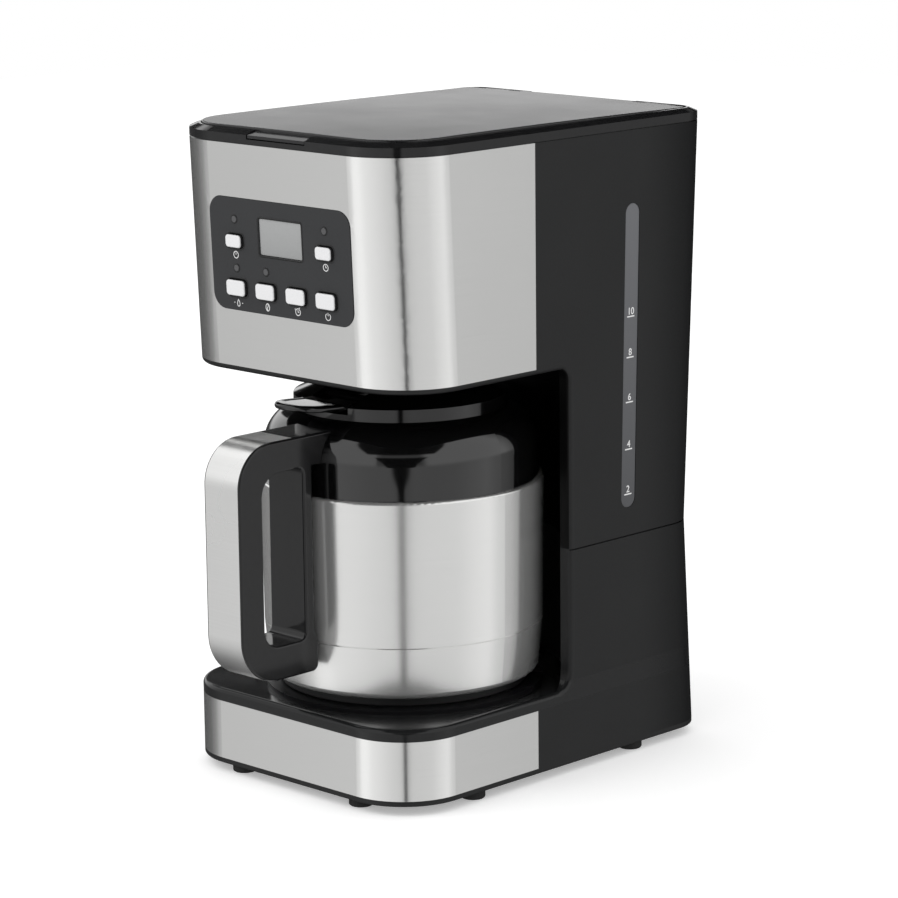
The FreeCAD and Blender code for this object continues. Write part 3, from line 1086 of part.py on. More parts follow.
def biarc(start, start_heading, end, end_heading):
    """Give two tangent arcs from one point and heading to another."""
    chord = end - start
    total = start_heading + end_heading
    spread = 2 * (1 - start_heading.dot(end_heading))
    along = chord.dot(total)
    reach = (math.sqrt(along * along + spread * chord.dot(chord)) - along) / spread
    first, second = start + start_heading * reach, end - end_heading * reach
    joint = (first + second) / 2
    return [tangent_arc(start, first, joint), tangent_arc(joint, second, end)]


def tangent_arc(start, corner, end):
    """Give the arc between two points whose tangents meet at a corner."""
    base = (start + end) / 2
    half = (start - base).Length
    rise = corner - base
    bulge = half * math.tan(math.atan2(rise.Length, half) / 2)
    return Part.Arc(start, base + rise.normalize() * bulge, end).toShape()


STEPS_PER_TURN = 4
POINTS_PER_TURN = 48


def least_gap(path, turns):
    """Measure how near a coil's centre line comes to itself, on points half a turn or more apart."""
    points = path.discretize(round(turns * POINTS_PER_TURN) + 1)
    return min((first - second).Length for index, first in enumerate(points)
               for second in points[index + POINTS_PER_TURN // 2:])


def make_spring(name, radius, wire, turns, low, high):
    """Add a coil spring about the carafe's axis, between two seats."""
    coil, thick, rounds = number(radius), number(wire), number(turns)
    bottom = number(f"{low} + {wire} / 2 + spring_end_gap")
    rise = number(f"{high} - {wire} / 2 - spring_end_gap") - bottom
    axis = Vector(0, number("carafe_y"), 0)
    count = round(rounds * STEPS_PER_TURN)
    points = []
    headings = []
    for step in range(count + 1):
        angle = 2 * math.pi * rounds * step / count
        across, along = coil * math.cos(angle), coil * math.sin(angle)
        points.append(axis + Vector(across, along, bottom + rise * step / count))
        headings.append(Vector(-along, across, rise / (2 * math.pi * rounds)).normalize())
    edges = []
    for step in range(count):
        edges += biarc(points[step], headings[step], points[step + 1], headings[step + 1])
    path = Part.Wire(edges)
    ring = Part.Wire([Part.Circle(points[0], headings[0], thick / 2).toShape()])
    made = doc.addObject("Part::Feature", name)
    made.Shape = path.makePipeShell([ring], True, False)
    print(f"{name}: least gap to itself {least_gap(path, rounds) - thick:.2f} mm")
    return node(name, made)


# Vacuum carafe
def make_carafe():
    """Build the carafe's foot, steel skins, flask and collar."""
    node("carafe_foot", turned("carafe_foot", [
        ("0", "rest_z + foot_ring_hollow"), ("foot_ring_inner", "rest_z + foot_ring_hollow"),
        ("foot_ring_inner + foot_ring_hollow", "rest_z"),
        ("foot_ring_radius - foot_ring_hollow / 2", "rest_z"),
        ("foot_ring_radius", "rest_z + foot_ring_hollow / 2"), ("foot_ring_radius", "cup_z"),
        ("0", "cup_z")]))

    inside = "cup_top_radius - sheet - sheet_fit"
    node("carafe_base_cup", turned("carafe_base_cup", [
        ("0", "cup_z"), ("cup_radius", "cup_z", "cup_corner"), ("cup_top_radius", "cup_top_z"),
        (inside, "cup_top_z"), (inside, "cup_top_z + sleeve"), (f"{inside} - sheet", "cup_top_z + sleeve"),
        (f"{inside} - sheet", "cup_top_z - sleeve / 2"),
        ("cup_radius - 2 * sheet", "cup_z + sheet", "cup_corner - sheet"), ("0", "cup_z + sheet")]))

    node("carafe_shell", turned("carafe_shell", [
        ("cup_top_radius", "shell_z"), ("shell_top_radius", "shell_top_z", "shell_lip_radius"),
        ("shell_top_radius - shell_lip", "shell_top_z"),
        ("shell_top_radius - shell_lip", "shell_top_z - sheet"),
        ("shell_top_radius - sheet", "shell_top_z - sheet"), ("cup_top_radius - sheet", "shell_z")]))

    neck_out = "neck_radius + sheet"
    pad_top = "cup_z + flask_lift"
    neck_low = "flask_top_z - neck_drop / 2"
    shoulder = "flask_top_z - flask_shoulder"
    node("vacuum_flask", turned("vacuum_flask", [
        ("0", pad_top), ("flask_low_radius", pad_top, "flask_corner"),
        ("flask_radius", shoulder), (neck_out, neck_low), (neck_out, "flask_top_z"),
        ("neck_radius", "flask_top_z"), ("neck_radius", f"{neck_low} - sheet / 2"),
        ("flask_radius - sheet", f"{shoulder} - sheet / 2"),
        ("flask_low_radius - sheet", f"{pad_top} + sheet", "flask_corner - sheet"),
        ("0", f"{pad_top} + sheet")]))
    node("flask_support", turned("flask_support", [
        ("support_bore", "cup_z + sheet"), ("support_radius", "cup_z + sheet"),
        ("support_radius", pad_top), ("support_bore", pad_top)]))
    make_collar()


def make_collar():
    """Build the black collar with its pouring lip."""
    bore = "neck_radius + sheet + neck_fit"
    inner_side = "collar_radius - collar_wall"
    slope_top = "collar_top_z + collar_slope"
    ring = turned("collar_ring", [
        ("collar_radius", "collar_z"), ("collar_radius", "collar_top_z", "collar_corner"),
        ("carafe_lid_radius", slope_top), (bore, slope_top), (bore, "flask_top_z - neck_drop / 4"),
        (f"{bore} + collar_wall", "flask_top_z - neck_drop / 4"),
        (f"{bore} + collar_wall", f"{slope_top} - 2 * collar_wall"),
        (inner_side, "collar_top_z - collar_wall", "collar_corner - collar_wall"),
        (inner_side, "collar_z")])
    run, rise = "(pour_lip_reach - carafe_lid_radius)", "pour_lip_drop"
    tilt = math.degrees(math.atan2(number(run), number(rise)))
    lean = Placement(Vector(), Rotation(Vector(1, 0, 0), -tilt))
    lip = doc.addObject("Part::Cylinder", "pour_lip")
    bind(lip, Radius="pour_lip_radius", Height="pour_lip_drop * 2")
    lip.Placement = lean
    place(lip, y="carafe_y + carafe_lid_radius - pour_lip_radius / 2", z=f"{slope_top} - pour_lip_drop")
    groove = doc.addObject("Part::Cylinder", "pour_groove")
    bind(groove, Radius="pour_groove", Height="pour_lip_drop * 3")
    groove.Placement = lean
    place(groove, y="carafe_y + carafe_lid_radius - pour_lip_radius / 4",
          z=f"{slope_top} - pour_lip_drop / 2")
    above = rod("lip_above", "pour_lip_reach * 2", "Z", (slope_top, f"{slope_top} + pour_lip_drop * 3"),
                y="carafe_y")
    inside = rod("lip_inside", "carafe_lid_radius", "Z", ("shell_top_z", f"{slope_top} + 1"), y="carafe_y")
    below = rod("lip_below", inner_side, "Z", ("shell_top_z", "collar_top_z - collar_corner"), y="carafe_y")
    beak = cut("pour_beak", lip, above, inside, below)
    node("carafe_collar", cut("carafe_collar", fuse("collar_with_lip", ring, beak), groove))


def make_carafe_lid():
    """Build the brew-through lid, its gasket, pour valve, spring, lever and pin."""
    top, under = "carafe_top_z", "lid_under_z"
    band = "carafe_lid_z + carafe_lid_band"
    inner = "plug_radius - plug_wall"
    groove_top = "carafe_lid_z - gasket_drop"
    groove_low = f"{groove_top} - gasket_height"
    groove_in = "plug_radius - gasket_depth"
    form = turned("carafe_lid_form", [
        ("carafe_lid_radius", "carafe_lid_z"), ("carafe_lid_radius", band),
        ("carafe_lid_radius - carafe_lid_edge", top, "carafe_lid_edge"), ("dish_radius", top),
        ("brew_hole", f"{top} - dish_drop"), ("brew_hole", under), ("dish_radius", under),
        (inner, f"{under} - dish_drop"), (inner, "plug_floor_z"), ("port_radius", "plug_floor_z"),
        ("port_radius", "plug_z"), ("plug_radius", "plug_z"), ("plug_radius", groove_low),
        (groove_in, groove_low), (groove_in, groove_top), ("plug_radius", groove_top),
        ("plug_radius", "carafe_lid_z")])
    half = "(lever_width / 2 + lever_slot_gap)"
    pivot_y = "carafe_y - lever_pivot_reach"
    slot = block("lever_slot", (f"-{half}", half),
                 ("carafe_y - carafe_lid_radius - 1", "carafe_y - lever_inner_reach + lever_slot_gap"),
                 ("lever_pivot_z - lever_barrel - lever_slot_gap", f"{top} + 1"))
    lugs = []
    for i, side in enumerate((-1, 1)):
        span = [f"{side} * {half}", f"{side} * ({half} + lug_width)"]
        low, high = span if side > 0 else span[::-1]
        lugs.append(block(f"lever_lug_{i}", (low, high),
                          (f"{pivot_y} - lever_barrel", f"{pivot_y} + lever_barrel"),
                          ("lever_pivot_z - lever_barrel", f"{top} - carafe_lid_skin / 2")))
    pin_hole = rod("lever_pin_hole", "lever_pin_radius + pin_clearance / 2", "X",
                   ("0 - lever_pin_length / 2", "lever_pin_length / 2"), y=pivot_y, z="lever_pivot_z")
    lid = fuse("carafe_lid_lugged", cut("carafe_lid_slotted", form, slot), *lugs)
    node("carafe_lid", cut("carafe_lid", lid, pin_hole))
    pin_end = "lever_pin_length / 2 - lever_slot_gap"
    node("lever_pin", rod("lever_pin", "lever_pin_radius", "X", (f"0 - ({pin_end})", pin_end),
                          y=pivot_y, z="lever_pivot_z"))
    node("lid_gasket", turned("lid_gasket", [
        (f"{groove_in} + sheet_fit", f"{groove_low} + sheet_fit"),
        ("neck_radius - gasket_squeeze", f"{groove_low} + sheet_fit"),
        ("neck_radius - gasket_squeeze", f"{groove_top} - sheet_fit"),
        (f"{groove_in} + sheet_fit", f"{groove_top} - sheet_fit")]))

    disc_top = "pour_valve_z + pour_valve_disc"
    flange_top = "pour_flange_z + pour_flange"
    tube_top = f"{flange_top} + pour_tube_over"
    node("pour_valve", turned("pour_valve", [
        ("pour_tube_bore", "pour_valve_z"), ("pour_valve_radius", "pour_valve_z"),
        ("pour_valve_radius", disc_top), ("pour_tube_radius", disc_top),
        ("pour_tube_radius", "pour_flange_z"), ("pour_flange_radius", "pour_flange_z"),
        ("pour_flange_radius", flange_top), ("pour_tube_radius", flange_top),
        ("pour_tube_radius", tube_top), ("pour_tube_bore", tube_top)]))
    make_spring("pour_valve_spring", "pour_spring_radius", "pour_spring_wire", "pour_spring_turns",
                flange_top, under)
    make_lever()


def make_lever():
    """Build the thumb lever with its barrel and the fork that lifts the pour valve."""
    low, tip = "carafe_lid_z + lever_root_lift", "carafe_lid_z + lever_tip_lift"
    half = "lever_width / 2"
    tongue = side_slab("lever_tongue", [
        ("-lever_reach", f"{tip} - lever_tip_thickness"), ("-carafe_lid_radius", low),
        ("-lever_inner_reach", "lever_pivot_z - lever_thickness / 2"),
        ("-lever_inner_reach", "lever_pivot_z + lever_thickness / 2"),
        ("-carafe_lid_radius", f"{low} + lever_thickness"), ("-lever_reach", tip)], "lever_width")
    nose = rod("lever_nose", half, "Z", (f"{low} - lever_thickness", f"{tip} + lever_thickness"),
               y="carafe_y - lever_reach + lever_width / 2")
    rest = block("lever_rest", (f"-{half}", half), ("carafe_y - lever_reach + lever_width / 2", "carafe_y"),
                 (f"{low} - lever_thickness * 2", f"{tip} + lever_thickness"))
    shaped = common("lever_shaped", tongue, fuse("lever_plan", nose, rest))
    barrel = rod("lever_barrel", "lever_barrel", "X", (f"-{half}", half), y="carafe_y - lever_pivot_reach",
                 z="lever_pivot_z")
    fork_in = "pour_tube_radius + lever_slot_gap * 2"
    root_y = "carafe_y - lever_inner_reach"
    prongs = []
    for i, side in enumerate((-1, 1)):
        span = [f"{side} * ({fork_in})", f"{side} * ({fork_in} + fork_width)"]
        across = span if side > 0 else span[::-1]
        prongs.append(block(f"lever_prong_{i}", across, (f"{root_y} - fork_width", "carafe_y - fork_stop"),
                            ("fork_z", "fork_z + fork_thickness")))
        prongs.append(block(f"lever_drop_{i}", across, (f"{root_y} - 2 * fork_width", root_y),
                            ("fork_z", "lever_pivot_z")))
    hole = rod("lever_hole", "lever_pin_radius + pin_clearance", "X", ("0 - lever_width", "lever_width"),
               y="carafe_y - lever_pivot_reach", z="lever_pivot_z")
    node("pour_lever", cut("pour_lever", fuse("lever_joined", shaped, barrel, *prongs), hole))


# Carafe handle
def handle_outline(inset):
    """Give the handle's side-view outline, its outer face drawn in by an inset."""
    foot_top = "opening_low_z"
    bar_back = "-(grip_bar_reach - grip_bar_thickness)"
    inner = "-carafe_lid_radius"
    return [(f"-(handle_reach - ({inset}))", f"handle_low_z + ({inset})", f"handle_low_bend - ({inset})"),
            ("-grip_foot_reach", f"handle_low_z + ({inset})", "grip_bend_bar"),
            ("-grip_foot_reach", foot_top, "grip_bend_bar / 2"),
            (bar_back, f"{foot_top} + grip_bend_bar"), (bar_back, "opening_top_z"),
            (inner, "opening_top_z"), (inner, f"handle_top_z - ({inset})"),
            (f"-(handle_reach - ({inset}))", f"handle_top_z - ({inset})", f"handle_top_bend - ({inset})")]


def make_handle():
    """Build the grip, the steel strap round it, the body bracket and its screw."""
    fore = "-(handle_reach - grip_thickness)"
    hole = [(fore, "opening_low_z", "grip_bend_low"), ("-grip_bar_reach", "opening_low_z", "grip_bend_bar"),
            ("-grip_bar_reach", "opening_top_z", "grip_bend_bar"), (fore, "opening_top_z", "grip_bend_top")]
    solid = side_slab("grip_solid", handle_outline("0"), "handle_width", hole)
    half = number("handle_width / 2")
    soften(solid, "grip_soft", "grip_edge", lambda edge: (
        near(edge.BoundBox.XMin, edge.BoundBox.XMax) and near(abs(middle(edge).x), half)))

    envelope = turned("carafe_envelope", [
        ("0", "rest_z"), ("cup_radius + arm_gap", "rest_z"),
        ("cup_radius + arm_gap", "cup_z + cup_corner / 2"), ("cup_top_radius + arm_gap", "cup_top_z"),
        ("shell_top_radius + arm_gap", "shell_top_z + arm_gap"),
        ("collar_radius + arm_gap", "shell_top_z + arm_gap"),
        ("collar_radius + arm_gap", "collar_top_z + arm_gap", "collar_corner + arm_gap"),
        ("carafe_lid_radius", "collar_top_z + collar_slope + arm_gap"),
        ("0", "collar_top_z + collar_slope + arm_gap")])

    full = side_slab("strap_outer", handle_outline("0"), "handle_width - 2 * strap_margin")
    core = side_slab("strap_core", handle_outline("strap_thickness"), "handle_width")
    fore_part = block("strap_limit", ACROSS, ("carafe_y - handle_reach - 1", "carafe_y - strap_end_reach"),
                      ("0", "rim_z"))
    strap = common("strap_wrap", cut("strap_sheet", full, core), fore_part)
    node("handle_strap", strap)

    foot_y, inner_y = "carafe_y - grip_foot_reach", "carafe_y - foot_ring_inner"
    tip_y = f"{foot_y} - tongue_length"
    tongue_top = "tongue_z + tongue_height"
    plate = block("bracket_plate", ("-bracket_x", "bracket_x"), (foot_y, inner_y),
                  ("bracket_z", "bracket_z + bracket_height"))
    tongue = block("bracket_tongue", ("-tongue_x", "tongue_x"), (tip_y, inner_y), ("tongue_z", tongue_top))
    screw_y = f"{foot_y} - tongue_length / 2"
    screw_bore = rod("bracket_bore", "handle_screw_radius + screw_fit", "Z", ("0", "rim_z"), y=screw_y)
    bracket = fuse("bracket_joined", plate, tongue)
    node("handle_bracket", cut("handle_bracket", bracket, envelope, screw_bore))

    slot = block("grip_slot", ("0 - tongue_x - tongue_fit", "tongue_x + tongue_fit"),
                 (f"{tip_y} - tongue_fit", inner_y),
                 ("tongue_z - tongue_fit", f"{tongue_top} + tongue_fit"))
    head_top = "handle_low_z + screw_head_height"
    sink = rod("grip_sink", "handle_screw_head + tongue_fit", "Z", ("0", head_top), y=screw_y)
    bore = rod("grip_screw_bore", "handle_screw_radius + screw_fit", "Z", ("0", tongue_top), y=screw_y)
    node("handle_grip", cut("handle_grip", solid, envelope, strap, slot, sink, bore))

    head = rod("handle_screw_head", "handle_screw_head", "Z", ("handle_low_z", head_top), y=screw_y)
    shank = rod("handle_screw_shank", "handle_screw_radius", "Z",
                ("handle_low_z + screw_head_height / 2", tongue_top), y=screw_y)
    node("handle_screw", fuse("handle_screw", head, shank))


# Build, check and write every piece
def write_parts():
    """Check every object and piece, then write one file for each piece."""
    doc.recompute()
    for item in doc.Objects:
        if {"Invalid", "Error"} & set(item.State):
            raise RuntimeError(f"{item.Name} failed: {item.State}")
    for item in PARTS:
        if item.Shape.isNull() or not item.Shape.isValid() or not item.Shape.Solids:
            raise RuntimeError(f"{item.Label} has no valid solid")
    os.makedirs("parts", exist_ok=True)
    for item in PARTS:
        item.Shape.exportStep(os.path.join("parts", f"{item.Label}.step"))
    print(f"{len(PARTS)} pieces written")


make_base()
make_upper_housing()
make_top()
make_controls()
make_water_path()
make_brewing()
make_carafe()
make_carafe_lid()
make_handle()
write_parts()
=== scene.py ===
"""Dressing of the drip coffee maker: finishes, printed marks, trim and the studio.

Metres, +Z up. The front faces -Y and the water gauge is on the +X side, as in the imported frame.
"""

import logging
import math
from dataclasses import dataclass, field, replace
from enum import Enum
from functools import cached_property

import bpy
import numpy as np
from mathutils import Matrix, Vector


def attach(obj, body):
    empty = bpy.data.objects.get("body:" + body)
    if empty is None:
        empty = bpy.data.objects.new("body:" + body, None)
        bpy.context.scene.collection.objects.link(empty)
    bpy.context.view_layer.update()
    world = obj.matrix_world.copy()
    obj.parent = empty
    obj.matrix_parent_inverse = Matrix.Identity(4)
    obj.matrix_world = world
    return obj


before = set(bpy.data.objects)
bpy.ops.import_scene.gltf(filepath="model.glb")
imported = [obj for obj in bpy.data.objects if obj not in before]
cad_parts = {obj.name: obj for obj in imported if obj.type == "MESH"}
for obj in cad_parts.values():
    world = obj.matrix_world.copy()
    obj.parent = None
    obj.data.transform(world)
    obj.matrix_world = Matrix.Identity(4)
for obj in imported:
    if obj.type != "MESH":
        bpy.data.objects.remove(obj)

LOG = logging.getLogger("coffee_maker")
MM = 0.001
WHITE = (1.0, 1.0, 1.0, 1.0)
FINE_NOISE = {"Scale": 1.0, "Detail": 3.0, "Roughness": 0.6}
BROAD_NOISE = {"Scale": 22.0, "Detail": 2.0}
NOISE_RANGE = (0.3, 0.7)  # what a noise usually gives
RELIEF_HEIGHT = 0.0002  # metres
QUARTER_TURN = 0.25  # as a share of a turn

# The control panel leans forward: its middle in millimetres, the ways up it and out of it, and how far out
# from its middle the white caps of the buttons start; below that their sides get painted shade.
PANEL_MIDDLE = np.array([0.0, -94.56, 281.0])
PANEL_LEAN = math.radians(2.43)
PANEL_UP = np.array([0.0, -math.sin(PANEL_LEAN), math.cos(PANEL_LEAN)])
PANEL_OUT = np.array([0.0, -math.cos(PANEL_LEAN), -math.sin(PANEL_LEAN)])
BUTTON_CAP = 2.2

Pair = tuple[float, float]
Point = tuple[float, float, float]
Colour = Point
Pairs = tuple[Pair, ...]
Socket = bpy.types.NodeSocket


class Grain(Enum):
    """Which way a finish's fine texture runs, as its share of the scale along X, Y and Z."""

    SPECKLED = (1.0, 1.0, 1.0)
    LEVEL = (0.006, 0.006, 1.0)
    UPRIGHT = (1.0, 1.0, 0.006)


class Body(Enum):
    """The moving bodies that new pieces ride on."""

    MACHINE = "machine"
    POUR_LEVER = "pour_lever"


# Materials
class Graph:
    """A node tree that is filled node by node."""

    def __init__(self, owner: bpy.types.ID) -> None:
        """Start an empty tree.

        Args:
            owner: The material or the world that gets the tree.
        """
        owner.use_nodes = True
        self.tree = owner.node_tree
        self.tree.nodes.clear()

    def add(self, kind: str, values: dict | None = None, **settings: str) -> bpy.types.Node:
        """Add a node.

        Args:
            kind: The node's type name, without its ShaderNode prefix.
            values: A number, a colour or another node's output for each input socket.
            settings: The node's own properties.

        Returns:
            The new node.
        """
        made = self.tree.nodes.new("ShaderNode" + kind)
        for name, value in settings.items():
            setattr(made, name, value)
        for socket, value in (values or {}).items():
            if isinstance(value, Socket):
                self.tree.links.new(value, made.inputs[socket])
            else:
                made.inputs[socket].default_value = value
        return made

    def maths(self, operation: str, first: Socket, second: Socket | float = 0.0) -> Socket:
        """Add a sum on two values, or a test of them that gives 0 or 1."""
        return self.add("Math", {0: first, 1: second}, operation=operation).outputs[0]

    @cached_property
    def place(self) -> Socket:
        """The Object coordinates, added at their first use."""
        return self.add("TexCoord").outputs["Object"]

    def split(self, place: Socket) -> bpy.types.NodeOutputs:
        """Add a split of a place into its X, Y and Z."""
        return self.add("SeparateXYZ", {"Vector": place}).outputs

    def mix(self, share: Socket | float, first: Socket | tuple, second: Socket | tuple,
            blend: str = "MIX") -> Socket:
        """Add a mix of two colours by a share."""
        values = {0: share, 6: first, 7: second}
        return self.add("Mix", values, data_type="RGBA", blend_type=blend).outputs[2]

    def remap(self, value: Socket, span: Pair, low: Socket | float = 0.0,
              high: Socket | float = 1.0, smooth: bool = False) -> Socket:
        """Add a map of a span of values onto low to high, held at its ends.

        Args:
            value: The output that is mapped.
            span: The values that give low and high.
            low: What the span's start gives.
            high: What the span's end gives.
            smooth: Whether the map eases in and out.

        Returns:
            The mapped output.
        """
        limits = {"Value": value, "From Min": span[0], "From Max": span[1], "To Min": low, "To Max": high}
        kind = "SMOOTHSTEP" if smooth else "LINEAR"
        return self.add("MapRange", limits, interpolation_type=kind).outputs["Result"]

    def ramp(self, factor: Socket, stops: list[tuple[float, Colour]]) -> Socket:
        """Add a colour ramp.

        Args:
            factor: The output that is looked up.
            stops: The place and colour of each stop, in rising order.

        Returns:
            The ramp's colour output.
        """
        made = self.add("ValToRGB", {"Fac": factor})
        places = made.color_ramp.elements
        while len(places) < len(stops):
            places.new(1.0)
        for element, (place, colour) in zip(places, stops):
            element.position = place
            element.color = (*colour, 1.0)
        return made.outputs["Color"]

    def greys(self, factor: Socket, stops: list[Pair] | Pairs) -> Socket:
        """Add a ramp of greys."""
        return self.ramp(factor, [(place, (level,) * 3) for place, level in stops])

    def spread(self, noise: Socket, low: float, high: float) -> Socket:
        """Add a map of a noise's usual range onto low to high."""
        return self.remap(noise, NOISE_RANGE, low, high)


@dataclass(frozen=True)
class Finish:
    """A solid finish with a fine grain, a broad unevenness and a small relief."""

    name: str
    colour: Colour
    roughness: float = 0.4
    metallic: float = 0.0
    contrast: float = 0.12
    unevenness: float = 0.05
    grain: Grain = Grain.SPECKLED
    scale: float = 900.0
    relief: float = 0.05
    anisotropy: float = 0.0
    level: float = 0.5

    def material(self) -> bpy.types.Material:
        """Give the finish's material, made at its first use.

        Returns:
            The material.
        """
        found = bpy.data.materials.get(self.name)
        if found:
            return found
        made = bpy.data.materials.new(self.name)
        graph = Graph(made)
        shader = self.surface(graph)
        graph.add("OutputMaterial", {"Surface": shader.outputs[0]})
        return made

    def fine(self, graph: Graph) -> Socket:
        """Add the fine grain, a noise drawn out along the grain's run.

        Args:
            graph: The tree to fill.

        Returns:
            The noise's output.
        """
        stretch = [self.scale * share for share in self.grain.value]
        mapped = graph.add("Mapping", {"Vector": graph.place, "Scale": stretch}).outputs["Vector"]
        return graph.add("TexNoise", {"Vector": mapped, **FINE_NOISE}).outputs["Fac"]

    def broad(self, graph: Graph) -> Socket:
        """Add the broad unevenness, a soft noise a few centimetres wide."""
        return graph.add("TexNoise", {"Vector": graph.place, **BROAD_NOISE}).outputs["Fac"]

    def tint(self, graph: Graph, fine: Socket) -> Socket:
        """Add the colour, which swings by the contrast either way with the grain.

        Args:
            graph: The tree to fill.
            fine: The fine grain.

        Returns:
            The colour output.
        """
        dark = tuple(part * (1 - self.contrast) for part in self.colour)
        pale = tuple(min(part * (1 + self.contrast), 1.0) for part in self.colour)
        return graph.ramp(fine, list(zip(NOISE_RANGE, (dark, pale))))

    def surface(self, graph: Graph) -> bpy.types.Node:
        """Add the shader.

        Args:
            graph: The tree to fill.

        Returns:
            The shader node.
        """
        fine = self.fine(graph)
        rough = graph.spread(self.broad(graph), self.roughness - self.unevenness,
                             self.roughness + self.unevenness)
        bump = graph.add("Bump", {"Height": fine, "Strength": self.relief, "Distance": RELIEF_HEIGHT})
        return graph.add("BsdfPrincipled", {
            "Base Color": self.tint(graph, fine), "Roughness": rough, "Metallic": self.metallic,
            "Normal": bump.outputs["Normal"], "Specular IOR Level": self.level})


def feed(shader: bpy.types.Node, name: str) -> Socket:
    """Give the output that feeds one of a shader's inputs."""
    return shader.inputs[name].links[0].from_socket


@dataclass(frozen=True)
class BrushedSteel(Finish):
    """Steel sheet brushed along the level, so that its reflections are drawn out upright."""

    def surface(self, graph: Graph) -> bpy.types.Node:
        """Add the steel shader with its tangent round the upright axis.

        Args:
            graph: The tree to fill.

        Returns:
            The shader node.
        """
        shader = super().surface(graph)
        shader.inputs["Anisotropic"].default_value = self.anisotropy
        shader.inputs["Anisotropic Rotation"].default_value = QUARTER_TURN
        tangent = graph.add("Tangent", direction_type="RADIAL", axis="Z")
        graph.tree.links.new(tangent.outputs["Tangent"], shader.inputs["Tangent"])
        return shader


@dataclass(frozen=True)
class HousingPlastic(Finish):
    """Satin plastic that loses its sheen towards the rear corners, from near to far along Y."""

    near: float = 0.078
    far: float = 0.136
    left: float = 0.1

    def surface(self, graph: Graph) -> bpy.types.Node:
        """Add the plastic shader with its falling sheen.

        Args:
            graph: The tree to fill.

        Returns:
            The shader node.
        """
        shader = super().surface(graph)
        along = graph.split(graph.place)["Y"]
        sheen = graph.remap(along, (self.near, self.far), self.level, self.level * self.left, smooth=True)
        graph.tree.links.new(sheen, shader.inputs["Specular IOR Level"])
        return shader


@dataclass(frozen=True)
class BandedPlastic(HousingPlastic):
    """Housing plastic that is polished between two heights."""

    low: float = 0.0
    high: float = 0.0
    polish: float = 0.1

    def surface(self, graph: Graph) -> bpy.types.Node:
        """Add the plastic shader with its roughness dropped inside the polished band.

        Args:
            graph: The tree to fill.

        Returns:
            The shader node.
        """
        shader = super().surface(graph)
        height = graph.split(graph.place)["Z"]
        above = graph.maths("GREATER_THAN", height, self.low)
        below = graph.maths("LESS_THAN", height, self.high)
        inside = graph.maths("MULTIPLY", above, below)
        drop = graph.remap(inside, (0.0, 1.0), 0.0, self.roughness - self.polish)
        eased = graph.maths("SUBTRACT", feed(shader, "Roughness"), drop)
        graph.tree.links.new(eased, shader.inputs["Roughness"])
        return shader


@dataclass(frozen=True)
class BayPlastic(HousingPlastic):
    """Housing plastic with painted shade inside the carafe bay: a darker colour there, and less sheen."""

    side: float = 0.0862
    roof: float = 0.2192
    deck: float = 0.054
    rear: float = 0.095
    shade: Colour = (0.0012, 0.0012, 0.0013)
    dull: float = 0.12

    def surface(self, graph: Graph) -> bpy.types.Node:
        """Add the plastic shader with a darker colour, which is painted shade, and less sheen inside the
        bay's box.

        Args:
            graph: The tree to fill.

        Returns:
            The shader node.
        """
        shader = super().surface(graph)
        way = graph.split(graph.place)
        beside = graph.maths("LESS_THAN", graph.maths("ABSOLUTE", way["X"]), self.side)
        before = graph.maths("LESS_THAN", way["Y"], self.rear)
        under = graph.maths("LESS_THAN", way["Z"], self.roof)
        over = graph.maths("GREATER_THAN", way["Z"], self.deck)
        inside = graph.maths("MULTIPLY", graph.maths("MULTIPLY", beside, before),
                             graph.maths("MULTIPLY", under, over))
        # Painted shade: inside the bay's box the colour turns near-black.
        shaded = graph.mix(inside, feed(shader, "Base Color"), (*self.shade, 1.0))
        dulled = graph.remap(inside, (0.0, 1.0), feed(shader, "Specular IOR Level"), self.dull)
        graph.tree.links.new(shaded, shader.inputs["Base Color"])
        graph.tree.links.new(dulled, shader.inputs["Specular IOR Level"])
        return shader


@dataclass(frozen=True)
class SwellingPlastic(Finish):
    """Moulded plastic whose wall draws in softly above its foot."""

    foot: float = 0.16
    head: float = 0.19
    draw: float = 0.00105

    def surface(self, graph: Graph) -> bpy.types.Node:
        """Add the plastic shader with a second, broad relief by height.

        Args:
            graph: The tree to fill.

        Returns:
            The shader node.
        """
        shader = super().surface(graph)
        height = graph.split(graph.place)["Z"]
        drawn = graph.remap(height, (self.foot, self.head), 0.0, -self.draw, smooth=True)
        relief = {"Height": drawn, "Strength": 1.0, "Distance": 1.0, "Normal": feed(shader, "Normal")}
        graph.tree.links.new(graph.add("Bump", relief).outputs["Normal"], shader.inputs["Normal"])
        return shader


@dataclass(frozen=True)
class CappedPlastic(Finish):
    """Moulded plastic whose sides behind its front face, along a given way out, get a dark colour as painted
    shade.
    """

    skirt: Colour = (0.02, 0.02, 0.021)
    out: Point = (0.0, -1.0, 0.0)
    face: float = 0.0
    depth: float = 0.0006

    def tint(self, graph: Graph, fine: Socket) -> Socket:
        """Add the cap's colour over the painted side shade, by the distance along the way out.

        Args:
            graph: The tree to fill.
            fine: The fine grain.

        Returns:
            The colour output.
        """
        along = graph.add("VectorMath", {0: graph.place, 1: self.out}, operation="DOT_PRODUCT")
        share = graph.remap(along.outputs["Value"], (self.face - self.depth, self.face))
        # Painted shade: the sides below the front face get the dark colour.
        return graph.mix(share, (*self.skirt, 1.0), super().tint(graph, fine))


@dataclass(frozen=True)
class FadedPlastic(Finish):
    """Smoky plastic that goes from one colour at the bottom to another at the top."""

    top: Colour = (0.2, 0.2, 0.2)
    low: float = 0.0
    high: float = 1.0
    ruffle: float = 0.002

    def tint(self, graph: Graph, fine: Socket) -> Socket:
        """Add the colour by height, ruffled by the grain.

        Args:
            graph: The tree to fill.
            fine: The fine grain.

        Returns:
            The colour output.
        """
        height = graph.split(graph.place)["Z"]
        ruffled = graph.maths("ADD", height, graph.spread(fine, -self.ruffle, self.ruffle))
        share = graph.remap(ruffled, (self.low, self.high))
        return graph.ramp(share, [(0.0, self.colour), (1.0, self.top)])


